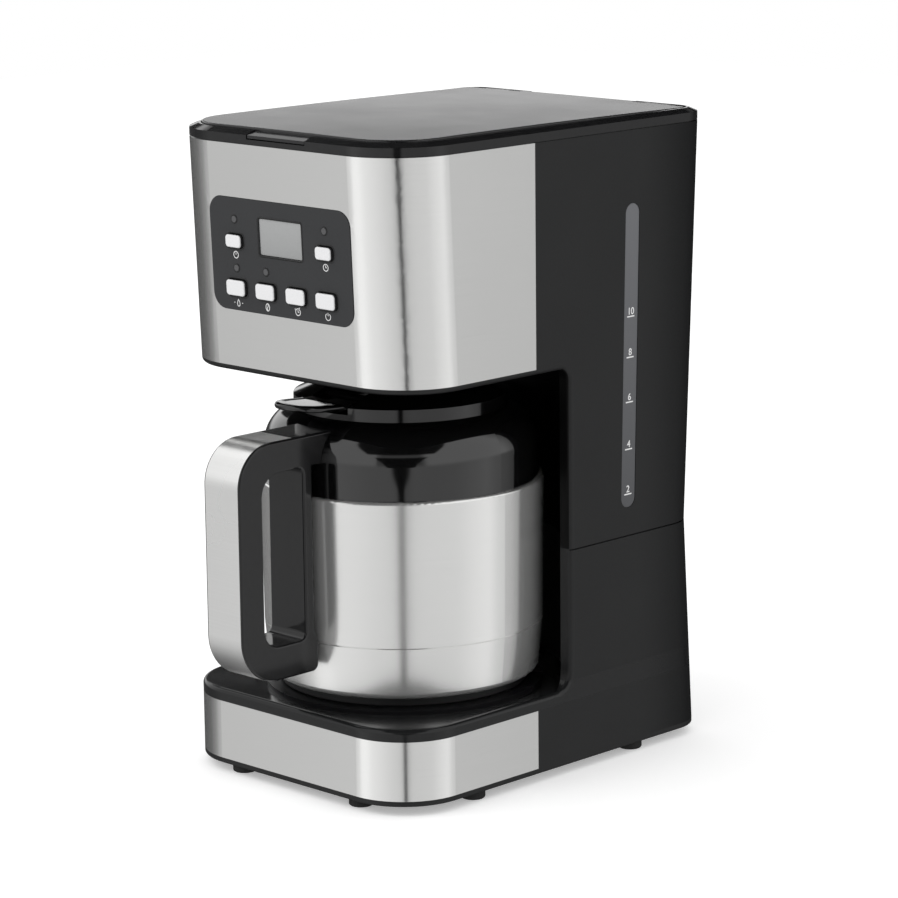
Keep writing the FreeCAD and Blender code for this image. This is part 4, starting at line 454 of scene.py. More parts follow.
@dataclass(frozen=True)
class ClearPlastic(Finish):
    """See-through plastic with faint flow marks."""

    clarity: float = 0.9
    bend: float = 1.45

    def surface(self, graph: Graph) -> bpy.types.Node:
        """Add the plastic shader and let light through it.

        Args:
            graph: The tree to fill.

        Returns:
            The shader node.
        """
        shader = super().surface(graph)
        shader.inputs["Transmission Weight"].default_value = self.clarity
        shader.inputs["IOR"].default_value = self.bend
        return shader


@dataclass(frozen=True)
class Perforated(Finish):
    """Thin sheet with rows of small round holes."""

    pitch: float = 1100.0
    hole: Colour = (0.01, 0.01, 0.01)
    reach: Point = (0.22, 0.3, 0.6)

    def tint(self, graph: Graph, fine: Socket) -> Socket:
        """Add the sheet's colour with a dark dot at each cell of an even lattice.

        Args:
            graph: The tree to fill.
            fine: The fine grain, not used here.

        Returns:
            The colour output.
        """
        cells = graph.add("TexVoronoi", {"Vector": graph.place, "Scale": self.pitch, "Randomness": 0.0})
        edge = tuple(part * (1 + self.contrast) for part in self.colour)
        stops = list(zip(self.reach, (self.hole, self.colour, edge)))
        return graph.ramp(cells.outputs["Distance"], stops)


@dataclass(frozen=True)
class CircuitBoard(Finish):
    """Lacquered board with raised copper lines under the lacquer."""

    pitch: float = 260.0
    line: float = 0.05
    dark: float = 0.85
    pale: float = 1.8

    def tint(self, graph: Graph, fine: Socket) -> Socket:
        """Add the lacquer's colour with paler lines laid like courses of bricks.

        Args:
            graph: The tree to fill.
            fine: The fine grain, not used here.

        Returns:
            The colour output.
        """
        plain, dark, pale = ((*(min(part * share, 1.0) for part in self.colour), 1.0)
                             for share in (1.0, self.dark, self.pale))
        lines = graph.add("TexBrick", {"Vector": graph.place, "Scale": self.pitch, "Mortar Size": self.line,
                                       "Color1": plain, "Color2": dark, "Mortar": pale})
        return lines.outputs["Color"]


SATIN = {"colour": (0.0115, 0.0118, 0.0122), "roughness": 0.48, "contrast": 0.18, "level": 0.34,
         "unevenness": 0.04, "scale": 1500.0}
POLISHED = {"colour": (0.003, 0.003, 0.0032), "roughness": 0.08, "contrast": 0.2, "unevenness": 0.015,
            "scale": 420.0, "relief": 0.003}

STEEL = BrushedSteel("brushed_steel_sheet", (0.86, 0.86, 0.85), roughness=0.2, metallic=1.0, contrast=0.018,
                     unevenness=0.015, grain=Grain.LEVEL, scale=5200.0, relief=0.004, anisotropy=0.75)
CUP_STEEL = replace(STEEL, name="carafe_steel_sheet", metallic=0.78)
STRAP_STEEL = BrushedSteel("strap_steel_sheet", (0.95, 0.95, 0.94), roughness=0.28, metallic=1.0,
                           contrast=0.02, unevenness=0.02, grain=Grain.LEVEL, scale=4200.0, relief=0.005,
                           anisotropy=0.4)
GLOSS_BLACK = Finish("gloss_black_plastic", (0.008, 0.008, 0.0085), roughness=0.1, contrast=0.2,
                     unevenness=0.02, scale=420.0, relief=0.004)
POLISHED_BLACK = Finish("polished_black_plastic", **POLISHED, level=0.75)
COLLAR_BLACK = SwellingPlastic("collar_black_plastic", **POLISHED, level=0.95)
LID_BLACK = Finish("lid_black_plastic", (0.014, 0.014, 0.015), roughness=0.2, contrast=0.2, unevenness=0.01,
                   scale=700.0, relief=0.006)
SATIN_BLACK = Finish("satin_black_plastic", **SATIN, relief=0.1)
# The upper housing gets painted shade inside the carafe bay.
BLACK_WITH_BAY_SHADE = BayPlastic("black_plastic_with_bay_shade", **SATIN, relief=0.1)
LOWER_BLACK = BandedPlastic("deck_black_plastic", **SATIN, relief=0.06, low=0.0396, high=0.0505, polish=0.12)
REST_BLACK = Finish("rest_black_plastic", (0.008, 0.008, 0.009), roughness=0.3, contrast=0.2, scale=1200.0)
PANEL_GREY = Finish("panel_charcoal", (0.036, 0.037, 0.039), roughness=0.55, contrast=0.1, scale=1800.0,
                    relief=0.08, level=0.3)
# The buttons' sides get painted shade below their white caps.
BUTTON_WHITE = CappedPlastic("button_white_plastic", (0.84, 0.84, 0.85), roughness=0.42, contrast=0.03,
                             scale=1400.0, relief=0.03, out=tuple(PANEL_OUT),
                             face=(PANEL_MIDDLE @ PANEL_OUT + BUTTON_CAP) * MM)
# Near-black for the indicator rims, and for the frames round the buttons and the display, where it is painted
# shade of the recess round each opening.
RIM_BLACK_AND_SHADE = Finish("rim_black_and_painted_shade", (0.006, 0.006, 0.0065), roughness=0.3, contrast=0.2, scale=1400.0)
DISPLAY_GREY = FadedPlastic("display_grey_glass", (0.33, 0.335, 0.335), roughness=0.16, unevenness=0.02,
                            scale=600.0, relief=0.0, top=(0.4, 0.405, 0.405), low=0.282, high=0.302)
CELL_GREY = FadedPlastic("display_cell_grey", (0.3, 0.31, 0.3), roughness=0.5, scale=900.0,
                         top=(0.38, 0.39, 0.38), low=0.28, high=0.302)
LENS_GREY = Finish("indicator_grey_lens", (0.085, 0.085, 0.088), roughness=0.25, contrast=0.1, scale=1600.0)
GAUGE_GREY = FadedPlastic("gauge_smoky_plastic", (0.082, 0.084, 0.09), roughness=0.36, unevenness=0.04,
                          scale=700.0, relief=0.02, top=(0.15, 0.153, 0.163), low=0.14, high=0.3)
MARK_WHITE = Finish("mark_white_print", (0.84, 0.84, 0.84), roughness=0.5, contrast=0.04, scale=2400.0)
TANK_SMOKE = ClearPlastic("tank_smoky_plastic", (0.5, 0.52, 0.55), roughness=0.22, scale=500.0, relief=0.02)
INNER_BLACK = Finish("inner_black_plastic", (0.019, 0.019, 0.02), roughness=0.42, contrast=0.2, scale=1300.0,
                     relief=0.08)
PLAIN_STEEL = Finish("plain_turned_steel", (0.6, 0.6, 0.6), roughness=0.3, metallic=1.0, contrast=0.06,
                     grain=Grain.UPRIGHT, scale=2600.0, relief=0.03)
FLASK_STEEL = Finish("flask_polished_steel", (0.68, 0.68, 0.68), roughness=0.16, metallic=1.0, contrast=0.05,
                     grain=Grain.LEVEL, scale=2200.0, relief=0.015)
MESH_STEEL = Perforated("mesh_filter_steel", (0.55, 0.55, 0.54), roughness=0.32, metallic=1.0, scale=900.0)
CAST_METAL = Finish("heater_cast_metal", (0.46, 0.46, 0.47), roughness=0.55, metallic=0.9, contrast=0.14,
                    scale=1100.0, relief=0.25)
RUBBER = Finish("soft_black_rubber", (0.017, 0.017, 0.017), roughness=0.7, contrast=0.22, scale=1700.0,
                relief=0.18, level=0.3)
HOSE_RUBBER = Finish("hose_pale_rubber", (0.5, 0.48, 0.44), roughness=0.5, contrast=0.08, scale=800.0,
                     relief=0.05)
BOARD_GREEN = CircuitBoard("board_green_lacquer", (0.014, 0.075, 0.03), roughness=0.35, scale=900.0)
SWITCH_BLACK = Finish("switch_black_plastic", (0.02, 0.02, 0.02), roughness=0.5, contrast=0.2, scale=1600.0)


def paint(finish: Finish, *nodes: str) -> None:
    """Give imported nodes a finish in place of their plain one.

    Args:
        finish: The finish to use.
        nodes: The nodes' names.
    """
    for name in nodes:
        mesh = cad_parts[name].data
        mesh.materials.clear()
        mesh.materials.append(finish.material())
        LOG.info("%s: %s", name, finish.name)


# Surfaces
def grid_faces(rows: int, cols: int, close_rows: bool, close_cols: bool) -> np.ndarray:
    """Join the points of a grid into quads: (i, j), (i + 1, j), (i + 1, j + 1), (i, j + 1).

    Args:
        rows: The number of rows of points.
        cols: The number of points in a row.
        close_rows: Whether the last row joins the first.
        close_cols: Whether each row's last point joins its first.

    Returns:
        The quads as rows of four point numbers.
    """
    i, j = np.meshgrid(np.arange(rows if close_rows else rows - 1),
                       np.arange(cols if close_cols else cols - 1), indexing="ij")
    after, beside = (i + 1) % rows, (j + 1) % cols
    corners = (i * cols + j, after * cols + j, after * cols + beside, i * cols + beside)
    return np.stack(corners, axis=-1).reshape(-1, 4)


@dataclass
class Shells:
    """Closed shells that are gathered into one mesh."""

    points: list[np.ndarray] = field(default_factory=list)
    faces: list[list[int]] = field(default_factory=list)
    count: int = 0

    def add(self, grid: np.ndarray, close_rows: bool = False) -> None:
        """Add one shell, turned outwards by the sign of its volume.

        The volume is the sum of a . (b x c) over the triangles, over six. A shell whose rows
        don't close gets a flat cap on its first row and on its last one.

        Args:
            grid: The shell's points as rows of closed sections, in metres.
            close_rows: Whether the last section joins the first.
        """
        rows, cols, _ = grid.shape
        points = grid.reshape(-1, 3)
        quads = grid_faces(rows, cols, close_rows, True)
        a, b, c, d = (points[quads[:, k]] - points.mean(axis=0) for k in range(4))
        volume = np.sum(a * np.cross(b, c)) + np.sum(a * np.cross(c, d))
        faces = quads.tolist()
        if not close_rows:
            faces += [np.arange(cols).tolist()[::-1], np.arange((rows - 1) * cols, rows * cols).tolist()]
        if volume < 0:
            faces = [face[::-1] for face in faces]
        self.faces += [[corner + self.count for corner in face] for face in faces]
        self.points.append(points)
        self.count += rows * cols

    def piece(self, name: str, body: Body, finish: Finish,
              sharp: float = 40.0) -> bpy.types.Object:
        """Make the piece and let it ride on a body.

        Args:
            name: The piece's name.
            body: The body that carries it.
            finish: Its finish.
            sharp: The angle in degrees above which an edge stays sharp.

        Returns:
            The new object.
        """
        mesh = bpy.data.meshes.new(name)
        mesh.from_pydata(np.concatenate(self.points).tolist(), [], self.faces)
        mesh.polygons.foreach_set("use_smooth", np.ones(len(mesh.polygons), dtype=bool))
        mesh.set_sharp_from_angle(angle=math.radians(sharp))
        mesh.update()
        made = bpy.data.objects.new(name, mesh)
        return settle(made, body, finish)


def settle(made: bpy.types.Object, body: Body, finish: Finish) -> bpy.types.Object:
    """Put a new piece into the scene, on its body and in its finish.

    Args:
        made: The new object, with its place in its mesh.
        body: The body that carries it.
        finish: Its finish.

    Returns:
        The same object.
    """
    bpy.context.scene.collection.objects.link(made)
    made.data.materials.append(finish.material())
    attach(made, body.value)
    LOG.info("%s: %d faces on %s", made.name, len(made.data.polygons), body.value)
    return made


def rounded_outline(width: float, height: float, corner: float, steps: int = 8) -> np.ndarray:
    """Walk round a rectangle with round corners: corner centre + r (cos t, sin t), a quarter turn each.

    Args:
        width: The full width.
        height: The full height.
        corner: The corner radius.
        steps: The number of steps round a corner.

    Returns:
        The points as rows of two numbers, anticlockwise.
    """
    turn = np.arange(4)[:, None] * np.pi / 2 + np.linspace(0, np.pi / 2, steps + 1)[None, :]
    side_x, side_y = np.array([1, -1, -1, 1])[:, None], np.array([1, 1, -1, -1])[:, None]
    across = side_x * (width / 2 - corner) + corner * np.cos(turn)
    along = side_y * (height / 2 - corner) + corner * np.sin(turn)
    return np.stack([across, along], axis=-1).reshape(-1, 2)


def circle(radius: float, steps: int = 32, start: float = 0.0, turn: float = 360.0) -> np.ndarray:
    """Walk along a circle, r (cos t, sin t), from a start angle through a turn in degrees."""
    angle = np.radians(start + np.linspace(0, turn, steps, endpoint=turn < 360))
    return radius * np.stack([np.cos(angle), np.sin(angle)], axis=-1)


def sideways(path: np.ndarray, closed: bool) -> np.ndarray:
    """Give the unit vector to the right of a plane path at each point, its direction turned by 90 degrees.

    Args:
        path: The path's points as rows of two numbers.
        closed: Whether the last point joins the first.

    Returns:
        One unit vector for each point.
    """
    if closed:
        ahead = np.roll(path, -1, axis=0) - np.roll(path, 1, axis=0)
    else:
        ahead = np.gradient(path, axis=0)
    ahead = ahead / np.linalg.norm(ahead, axis=1, keepdims=True)
    return np.stack([ahead[:, 1], -ahead[:, 0]], axis=-1)


def carry(path: np.ndarray, section: np.ndarray, closed: bool) -> np.ndarray:
    """Carry a section along a plane path: path point + section's first number sideways, second one up.

    Args:
        path: The path's points as rows of two numbers.
        section: The section's points as rows of an offset and a height.
        closed: Whether the path closes.

    Returns:
        A grid of (across, along, height), one row of points for each point of the path.
    """
    plan = path[:, None, :] + section[None, :, :1] * sideways(path, closed)[:, None, :]
    height = np.broadcast_to(section[None, :, 1:], plan.shape[:2] + (1,))
    return np.concatenate([plan, height], axis=-1)


def ribbon(width: float, height: float) -> np.ndarray:
    """Give a printed line's section, a low box whose foot is sunk by its own height."""
    half = width / 2
    return np.array([(-half, -height), (half, -height), (half, height), (-half, height)])


# Sub-assemblies
class SubAssembly:
    """A group of the machine's pieces that is dressed together."""

    def dress(self) -> None:
        """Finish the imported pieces."""

    def build(self) -> None:
        """Build the new pieces, where the group has any."""


class Housing(SubAssembly):
    """The fixed shells, the steel bands, the rim and what stands on the table."""

    def dress(self) -> None:
        """Finish the outside shells."""
        paint(STEEL, "head_steel_band", "base_steel_band")
        paint(BLACK_WITH_BAY_SHADE, "upper_housing")
        paint(SATIN_BLACK, "bottom_pan", "cord_gland")
        paint(LOWER_BLACK, "lower_housing")
        paint(GLOSS_BLACK, "top_rim")
        paint(REST_BLACK, "carafe_rest")
        paint(RUBBER, "rubber_feet")
        paint(PLAIN_STEEL, "base_screws", "hinge_pins")


class BrewLid(SubAssembly):
    """The hinged lid with its duct and shower plate."""

    def dress(self) -> None:
        """Finish the lid and what hangs under it."""
        paint(LID_BLACK, "brew_lid")
        paint(INNER_BLACK, "lid_water_duct", "shower_plate")


@dataclass
class ControlPanel(SubAssembly):
    """The leaning panel: fascia, display, buttons, indicators and their printed signs."""

    face: float = 0.4
    small_button: Pair = (11.2, 6.6)
    large_button: Pair = (13.6, 8.1)
    small_v: float = 7.0
    large_v: float = -17.5
    outer_u: float = 33.4
    inner_u: float = 11.3
    button_corner: float = 1.9
    button_fit: float = 0.35
    frame_out: float = 0.55
    frame_half: float = 0.5
    frame_rise: float = 0.22
    display_at: Pair = (0.6, 10.8)
    display: Pair = (31.5, 19.0)
    display_corner: float = 1.0
    display_rise: float = 1.4
    indicators: Pairs = ((-33.4, 18.3), (33.4, 18.3), (-33.4, -7.2), (-11.3, -7.2))
    indicator_radius: float = 1.7
    rim_half: float = 0.35
    rim_rise: float = 0.3
    sign_drop: float = 4.0
    line: float = 0.42
    print_height: float = 0.05

    def lift(self, grid: np.ndarray, at: Pair = (0.0, 0.0)) -> np.ndarray:
        """Place panel points: middle + u across + v up the leaning face + w out of it.

        Args:
            grid: Points as (u, v, w) in millimetres, w from the fascia's face.
            at: Where their zero lies on the panel.

        Returns:
            The points in the frame, in metres.
        """
        u, v, w = grid[..., :1] + at[0], grid[..., 1:2] + at[1], grid[..., 2:] + self.face
        return (PANEL_MIDDLE + u * np.array([1.0, 0.0, 0.0]) + v * PANEL_UP + w * PANEL_OUT) * MM

    def buttons(self) -> list[tuple[Pair, Pair]]:
        """Give the place and the size of each button.

        Returns:
            For each button its middle on the panel, and its width and height.
        """
        small = [((side * self.outer_u, self.small_v), self.small_button) for side in (-1, 1)]
        large = [((u, self.large_v), self.large_button)
                 for u in (-self.outer_u, -self.inner_u, self.inner_u, self.outer_u)]
        return small + large

    def build_surrounds(self) -> None:
        """Build the low raised frames round the buttons and the display, in near-black that is painted shade
        of the recess round each opening.

        The section is a flat oval, r cos t sideways and h sin t up, carried round the opening.
        """
        section = circle(1.0, 12) * (self.frame_half, self.frame_rise) + (self.frame_out, 0.0)
        shells = Shells()
        for at, (width, height) in self.buttons():
            opening = rounded_outline(width + 2 * self.button_fit, height + 2 * self.button_fit,
                                      self.button_corner + self.button_fit)
            shells.add(self.lift(carry(opening, section, True), at), close_rows=True)
        glass = rounded_outline(*self.display, self.display_corner)
        higher = section * (1.0, self.display_rise)
        shells.add(self.lift(carry(glass, higher, True), self.display_at), close_rows=True)
        shells.piece("panel_surrounds", Body.MACHINE, RIM_BLACK_AND_SHADE)

    def build_indicator_rims(self) -> None:
        """Build the ring round each indicator lens, a small oval section carried round a circle."""
        section = circle(1.0, 10) * (self.rim_half, self.rim_rise) + (self.rim_half, 0.0)
        shells = Shells()
        for at in self.indicators:
            shells.add(self.lift(carry(circle(self.indicator_radius), section, True), at), close_rows=True)
        shells.piece("indicator_rims", Body.MACHINE, RIM_BLACK_AND_SHADE)

    def signs(self) -> list[tuple[Pair, list[tuple[np.ndarray, bool]]]]:
        """Draw the sign under each button as plane lines.

        Returns:
            For each sign its place, and its lines with whether each closes.
        """
        ring = circle(1.75)
        hand_up = np.array([(0.0, 0.0), (0.0, 1.15)])
        hand_right = np.array([(0.0, 0.0), (0.85, 0.0)])
        turn = np.linspace(0, 2 * np.pi, 33)[:-1]
        drop = np.stack([1.25 * np.sin(turn) * np.sin(turn / 2), 1.8 * np.cos(turn)], axis=-1)
        bean = circle(1.0) * (1.35, 1.9)
        wave = np.linspace(-1.7, 1.7, 17)
        crease = np.stack([0.4 * np.sin(wave * 1.8), wave], axis=-1)
        ears = [circle(0.75, 9, 70 + 90 * side, 110) + (1.35 * (1 - 2 * side), 1.5) for side in (0, 1)]
        low = self.large_v - self.large_button[1] / 2 - self.sign_drop
        high = self.small_v - self.small_button[1] / 2 - self.sign_drop
        spots = [np.array([(side * 2.6, 0.0), (side * 3.3, 0.0)]) for side in (-1, 1)]
        return [
            ((-self.outer_u, high), [(ring, True), (hand_up, False)]),
            ((self.outer_u, high), [(ring, True), (hand_up, False), (hand_right, False)]),
            ((-self.outer_u, low), [(drop, True)] + [(spot, False) for spot in spots]),
            ((-self.inner_u, low), [(bean, True), (crease, False)]),
            ((self.inner_u, low), [(ring, True), (hand_up, False), (hand_right, False)]
             + [(ear, False) for ear in ears]),
            ((self.outer_u, low), [(circle(1.8, 25, 125, 290), False),
                                   (np.array([(0.0, 0.4), (0.0, 2.1)]), False)]),
        ]

    def build_signs(self) -> None:
        """Build the printed signs, each line a thin ribbon carried along its path."""
        section = ribbon(self.line, self.print_height)
        shells = Shells()
        for at, lines in self.signs():
            for path, closed in lines:
                shells.add(self.lift(carry(path, section, closed), at), close_rows=closed)
        shells.piece("panel_signs", Body.MACHINE, MARK_WHITE)

    def dress(self) -> None:
        """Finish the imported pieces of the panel."""
        paint(PANEL_GREY, "control_fascia")
        paint(DISPLAY_GREY, "display_lens")
        paint(CELL_GREY, "display_module")
        paint(LENS_GREY, "indicator_lenses")
        paint(BUTTON_WHITE, "hour_button", "minute_button", "clean_button", "strong_button", "program_button",
              "power_button")
        paint(BOARD_GREEN, "control_board")
        paint(SWITCH_BLACK, "tact_switches")
        paint(PLAIN_STEEL, "board_screws")

    def build(self) -> None:
        """Build the panel's new pieces."""
        self.build_surrounds()
        self.build_indicator_rims()
        self.build_signs()


@dataclass
class WaterGauge(SubAssembly):
    """The level window on the right side with its printed cup numbers."""

    face_x: float = 87.2
    middle_y: float = 74.5
    middle_z: float = 218.5
    lean: float = 1.4
    marks: dict[int, float] = field(default_factory=lambda: {
        2: 144.7, 4: 169.1, 6: 194.5, 8: 218.6, 10: 240.4})
    digit: float = 5.2
    digit_lift: float = 0.6
    digit_bold: float = 0.06
    tick: float = 5.6
    tick_width: float = 0.7
    tick_drop: float = 0.5
    print_height: float = 0.05

    def place(self, grid: np.ndarray, height: float) -> np.ndarray:
        """Place side points: across goes to the back, up the leaning window, out to the right.

        Args:
            grid: Points as (across, up, out) in millimetres.
            height: The height of their zero.

        Returns:
            The points in the frame, in metres.
        """
        slope = math.tan(math.radians(self.lean))
        z = height + grid[..., 1]
        y = self.middle_y + grid[..., 0] + slope * (z - self.middle_z)
        return np.stack([self.face_x + grid[..., 2], y, z], axis=-1) * MM

    def build(self) -> None:
        """Build a tick under each number, and the numbers."""
        line = np.array([(-self.tick / 2, -self.tick_drop), (self.tick / 2, -self.tick_drop)])
        tick = carry(line, ribbon(self.tick_width, self.print_height), False)
        shells = Shells()
        for height in self.marks.values():
            shells.add(self.place(tick, height))
        shells.piece("gauge_ticks", Body.MACHINE, MARK_WHITE)
        for value, height in self.marks.items():
            self.build_number(value, height)

    def build_number(self, value: int, height: float) -> bpy.types.Object:
        """Build one printed number from a text that is made a mesh and then placed.

        Args:
            value: The number of cups.
            height: The height of its tick.

        Returns:
            The number's object.
        """
        name = f"gauge_number_{value}"
        text = bpy.data.curves.new(name, "FONT")
        text.body = str(value)
        text.size = self.digit
        text.align_x = "CENTER"
        text.extrude = self.print_height
        text.offset = self.digit_bold
        holder = bpy.data.objects.new(name, text)
        mesh = bpy.data.meshes.new_from_object(holder)
        bpy.data.objects.remove(holder)
        bpy.data.curves.remove(text)
        flat = np.empty(len(mesh.vertices) * 3)
        mesh.vertices.foreach_get("co", flat)
        placed = self.place(flat.reshape(-1, 3) + (0.0, self.digit_lift, 0.0), height)
        mesh.vertices.foreach_set("co", placed.ravel())
        mesh.update()
        mesh.name = name
        return settle(bpy.data.objects.new(name, mesh), Body.MACHINE, MARK_WHITE)

    def dress(self) -> None:
        """Finish the window and the tank behind it."""
        paint(GAUGE_GREY, "gauge_window")
        paint(TANK_SMOKE, "water_tank")


@dataclass
class Carafe(SubAssembly):
    """The vacuum carafe with its handle, lid and thumb lever."""

    pad_root: float = -67.6
    pad_nose: float = -79.0
    pad_half: float = 16.3
    pad_root_z: float = 202.55
    pad_slope: float = 0.08
    nose_points: int = 41
    root_points: int = 21
    pad_edge: Pairs = (
        (16.2, -1.75), (6.0, -1.75), (1.3, -1.7), (0.5, -1.4), (0.1, -0.8), (0.0, -0.1), (0.15, 0.7),
        (0.6, 1.3), (1.5, 1.65), (3.0, 1.6), (6.0, 1.3), (10.0, 1.1), (14.0, 1.02), (16.2, 1.0))

    def pad_outline(self, inset: float) -> np.ndarray:
        """Walk round the pad's plan: two straight sides and a half circle, r (cos t, -sin t), for the nose.

        Args:
            inset: How far the outline is drawn in.

        Returns:
            The points as rows of two numbers.
        """
        half = self.pad_half - inset
        nose = circle(half, self.nose_points, 180.0, 180.0) + (0.0, self.pad_nose)
        across = np.linspace(half, -half, self.root_points)
        root = np.stack([across, np.full_like(across, self.pad_root)], axis=-1)
        return np.concatenate([nose, root])

    def build_thumb_pad(self) -> None:
        """Build the lever's pad: outlines drawn in and lifted step by step over a rounded edge.

        The height at a point is the edge profile's height plus the slope times the way to the root.
        """
        rings = []
        for inset, height in self.pad_edge:
            plan = self.pad_outline(inset)
            z = self.pad_root_z + height + self.pad_slope * (self.pad_root - plan[:, 1])
            rings.append(np.column_stack([plan, z]))
        shells = Shells()
        shells.add(np.stack(rings) * MM)
        shells.piece("thumb_pad", Body.POUR_LEVER, POLISHED_BLACK, sharp=60.0)

    def dress(self) -> None:
        """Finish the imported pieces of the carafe."""
        paint(CUP_STEEL, "carafe_shell", "carafe_base_cup")
        paint(STRAP_STEEL, "handle_strap")
        paint(COLLAR_BLACK, "carafe_collar")
        paint(POLISHED_BLACK, "carafe_lid", "pour_lever")
        paint(GLOSS_BLACK, "handle_grip")
        paint(SATIN_BLACK, "carafe_foot")
        paint(FLASK_STEEL, "vacuum_flask")
        paint(PLAIN_STEEL, "handle_bracket", "handle_screw", "lever_pin", "pour_valve_spring")
        paint(RUBBER, "flask_support", "lid_gasket")
        paint(INNER_BLACK, "pour_valve")

    def build(self) -> None:
        """Build the carafe's new pieces."""
        self.build_thumb_pad()


class InnerWorks(SubAssembly):
    """What the shells hide: brewing parts, heater, hoses and power board."""

    def dress(self) -> None:
        """Finish the inner pieces."""
        paint(INNER_BLACK, "top_tray", "filter_basket", "drip_stop", "check_valve", "riser_outlet")
        paint(MESH_STEEL, "mesh_filter")
        paint(PLAIN_STEEL, "drip_stop_spring", "check_ball", "thermostat", "thermal_fuse")
        paint(RUBBER, "drip_stop_seal")
        paint(HOSE_RUBBER, "inlet_hose", "riser_hose")
        paint(CAST_METAL, "heater_block")
        paint(BOARD_GREEN, "power_board")


@dataclass
class Studio:
    """The white floor, the surrounding light, the lamp and the camera."""

    azimuth: float = 44.491
    pitch: float = 11.866
    roll: float = -0.628
    focal: float = 3529.36
    offset: Point = (-18.152, -164.271, 1918.68)
    image: float = 898.0
    sensor: float = 36.0
    fill: float = 0.9
    floor_half: float = 3.0
    floor_points: int = 7
    floor_grey: float = 0.9
    floor_glow: float = 0.34
    lamp_size: float = 1.4
    lamp_power: float = 9.0
    lamp_at: Point = (-0.9, -1.5, 1.7)
    lamp_aim: Point = (0.0, 0.0, 0.2)
    horizon: Pair = (-0.02, 0.07)
    top_lift: float = 0.5
    top_soft: float = 0.025
    round_light: Pairs = (
        (-180, 0.05), (-150, 0.06), (-125, 0.08), (-105, 0.1), (-80, 0.14), (-62, 0.28), (-50, 0.54),
        (-44, 0.64), (-40, 0.75), (-34, 1.0), (-24, 1.0), (-12, 0.86), (5, 0.78), (21, 0.7), (38, 0.68),
        (41.4, 0.58), (42.6, 0.03), (46.4, 0.03), (47.6, 0.56), (55, 0.66), (72, 0.64), (90, 0.66),
        (104, 0.76), (120, 0.86), (131, 0.65), (138, 0.51), (150, 0.3), (165, 0.08), (179, 0.05))
    upper_light: Pairs = (
        (-180, 0.08), (-152, 0.08), (-144, 1.2), (-110, 1.2), (-60, 0.8), (-20, 1.0), (22, 1.0), (27, 0.35),
        (62, 0.35), (67, 1.0), (140, 1.0), (160, 0.1), (179, 0.08))
    light_top: Pairs = (
        (-180, 0.143), (-120, 0.143), (-90, 0.9), (-15.5, 0.9), (-1.5, 0.74), (11.5, 0.56), (24.5, 0.31),
        (31.5, 0.03), (36.5, -0.1), (40, -0.14), (42.5, -0.18), (43.5, -0.22), (44.5, -0.3), (45.5, -0.22),
        (46.5, -0.18), (49, -0.14), (52.5, -0.1), (57.5, 0.03), (64.5, 0.31), (77.5, 0.56), (90.5, 0.74),
        (104.5, 0.9), (150, 0.9), (179, 0.143))
    ceiling: Pairs = (
        (0.0, 0.03), (0.36, 0.03), (0.4, 1.0), (0.48, 1.0), (0.53, 0.03), (1.0, 0.03))

    def by_compass(self, graph: Graph, share: Socket, stops: Pairs, lift: float = 0.0) -> Socket:
        """Add a ramp of greys over the whole turn of the compass.

        Args:
            graph: The tree to fill.
            share: The compass angle as a share of the turn, 0 at -180 degrees.
            stops: The angle in degrees and the level of each stop.
            lift: What is added to each level, because a ramp holds none below zero.

        Returns:
            The ramp's colour output.
        """
        return graph.greys(share, [((turn + 180) / 360, level + lift) for turn, level in stops])

    def gloss_light(self, graph: Graph) -> Socket:
        """Add what gloss reflects: a ring of light under a dark ceiling with one pale band.

        The ring goes by compass angle, atan2(x, -y), with one ramp below the horizon, one above it
        and one for its top edge.

        Args:
            graph: The world's tree.

        Returns:
            The light's colour output.
        """
        way = graph.split(graph.add("TexCoord").outputs["Generated"])
        angle = graph.maths("ARCTAN2", way["X"], graph.maths("MULTIPLY", way["Y"], -1.0))
        share = graph.remap(angle, (-math.pi, math.pi))
        low = self.by_compass(graph, share, self.round_light)
        high = self.by_compass(graph, share, self.upper_light)
        top = self.by_compass(graph, share, self.light_top, self.top_lift)
        wall = graph.mix(graph.remap(way["Z"], self.horizon), low, high)
        edge = (-self.top_lift - self.top_soft, -self.top_lift + self.top_soft)
        over = graph.remap(graph.maths("SUBTRACT", way["Z"], top), edge, smooth=True)
        roof = graph.mix(1.0, graph.greys(way["Z"], self.ceiling), high, "MULTIPLY")
        return graph.mix(over, wall, roof)

    def sky(self) -> None:
        """Build the surrounding light.

        The camera and see-through pieces meet plain white, gloss meets its own light, and the rest
        gets an even fill.
        """
        world = bpy.data.worlds.new("studio_light")
        bpy.context.scene.world = world
        world.cycles.sampling_method = "NONE"
        graph = Graph(world)
        ring = self.gloss_light(graph)
        path = graph.add("LightPath").outputs
        seen = graph.maths("MAXIMUM", path["Is Camera Ray"], path["Is Transmission Ray"])
        plain, gloss, white = (graph.add("Background", {"Color": colour, "Strength": strength}).outputs[0]
                               for colour, strength in ((WHITE, self.fill), (ring, 1.0), (WHITE, 1.0)))
        lit = graph.add("MixShader", {0: path["Is Glossy Ray"], 1: plain, 2: gloss}).outputs[0]
        shown = graph.add("MixShader", {0: seen, 1: lit, 2: white}).outputs[0]
        graph.add("OutputWorld", {"Surface": shown})

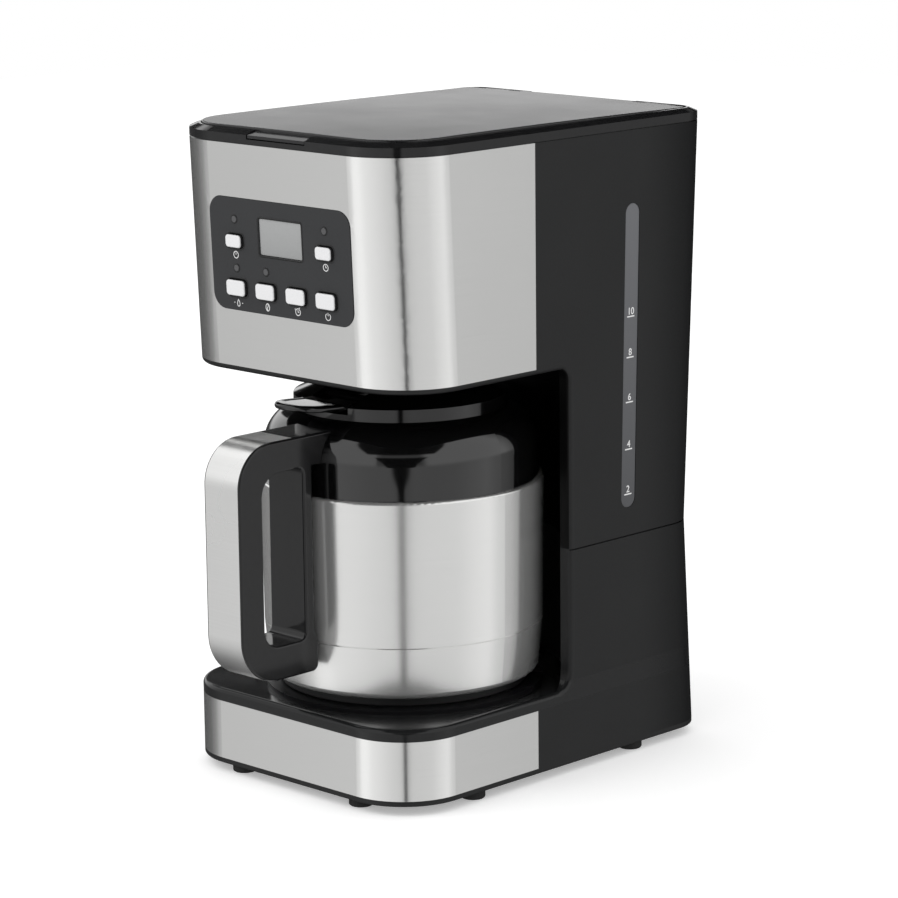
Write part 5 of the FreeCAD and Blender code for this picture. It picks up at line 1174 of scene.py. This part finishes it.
    def floor(self) -> None:
        """Build the pale floor, a wide flat grid that keeps the soft shadow under the feet."""
        edge = np.linspace(-self.floor_half, self.floor_half, self.floor_points)
        across, along = np.meshgrid(edge, edge, indexing="ij")
        points = np.stack([across, along, np.zeros_like(across)], axis=-1).reshape(-1, 3)
        mesh = bpy.data.meshes.new("floor")
        quads = grid_faces(self.floor_points, self.floor_points, False, False)
        mesh.from_pydata(points.tolist(), [], quads.tolist())
        made = bpy.data.objects.new("floor", mesh)
        bpy.context.scene.collection.objects.link(made)
        made.visible_glossy = False
        material = bpy.data.materials.new("floor_white")
        graph = Graph(material)
        soft = graph.add("BsdfDiffuse", {"Color": (*(self.floor_grey,) * 3, 1.0)})
        seen = graph.add("LightPath").outputs["Is Camera Ray"]
        share = graph.maths("MULTIPLY", seen, self.floor_glow)
        glow = graph.add("Emission", {"Color": WHITE, "Strength": share})
        both = graph.add("AddShader", {0: soft.outputs[0], 1: glow.outputs[0]})
        graph.add("OutputMaterial", {"Surface": both.outputs[0]})
        mesh.materials.append(material)

    def lamp(self) -> None:
        """Hang a wide soft lamp above and to the left of the front."""
        light = bpy.data.lights.new("soft_lamp", "AREA")
        light.size = self.lamp_size
        light.energy = self.lamp_power
        made = bpy.data.objects.new("soft_lamp", light)
        bpy.context.scene.collection.objects.link(made)
        made.location = self.lamp_at
        made.rotation_euler = (Vector(self.lamp_aim) - made.location).to_track_quat("-Z", "Y").to_euler()
        made.visible_glossy = False

    def camera(self) -> None:
        """Set the camera: it looks along -back, turned about that line by the roll."""
        turn, pitch, roll = (math.radians(angle) for angle in (self.azimuth, self.pitch, self.roll))
        back = Vector((math.sin(turn) * math.cos(pitch), -math.cos(turn) * math.cos(pitch), math.sin(pitch)))
        right = Vector((math.cos(turn), math.sin(turn), 0.0))
        up = back.cross(right)
        x, y, z = self.offset
        eye = (back * z - right * x - up * y) * MM
        level = right * math.cos(roll) + up * math.sin(roll)
        upright = up * math.cos(roll) - right * math.sin(roll)
        data = bpy.data.cameras.new("camera")
        data.sensor_width = self.sensor
        data.lens = self.focal * self.sensor / self.image
        made = bpy.data.objects.new("camera", data)
        bpy.context.scene.collection.objects.link(made)
        made.matrix_world = Matrix((level, upright, back)).transposed().to_4x4()
        made.matrix_world.translation = eye
        bpy.context.scene.camera = made

    def build(self) -> None:
        """Build the whole studio."""
        self.sky()
        self.floor()
        self.lamp()
        self.camera()
        bpy.context.scene.view_settings.view_transform = "Standard"


def main() -> None:
    """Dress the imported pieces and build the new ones."""
    logging.basicConfig(level=logging.INFO, format="%(name)s: %(message)s")
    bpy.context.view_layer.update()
    Studio().build()
    for part in (Housing(), BrewLid(), ControlPanel(), WaterGauge(), Carafe(), InnerWorks()):
        part.dress()
        part.build()


if __name__ == "__main__":
    main()
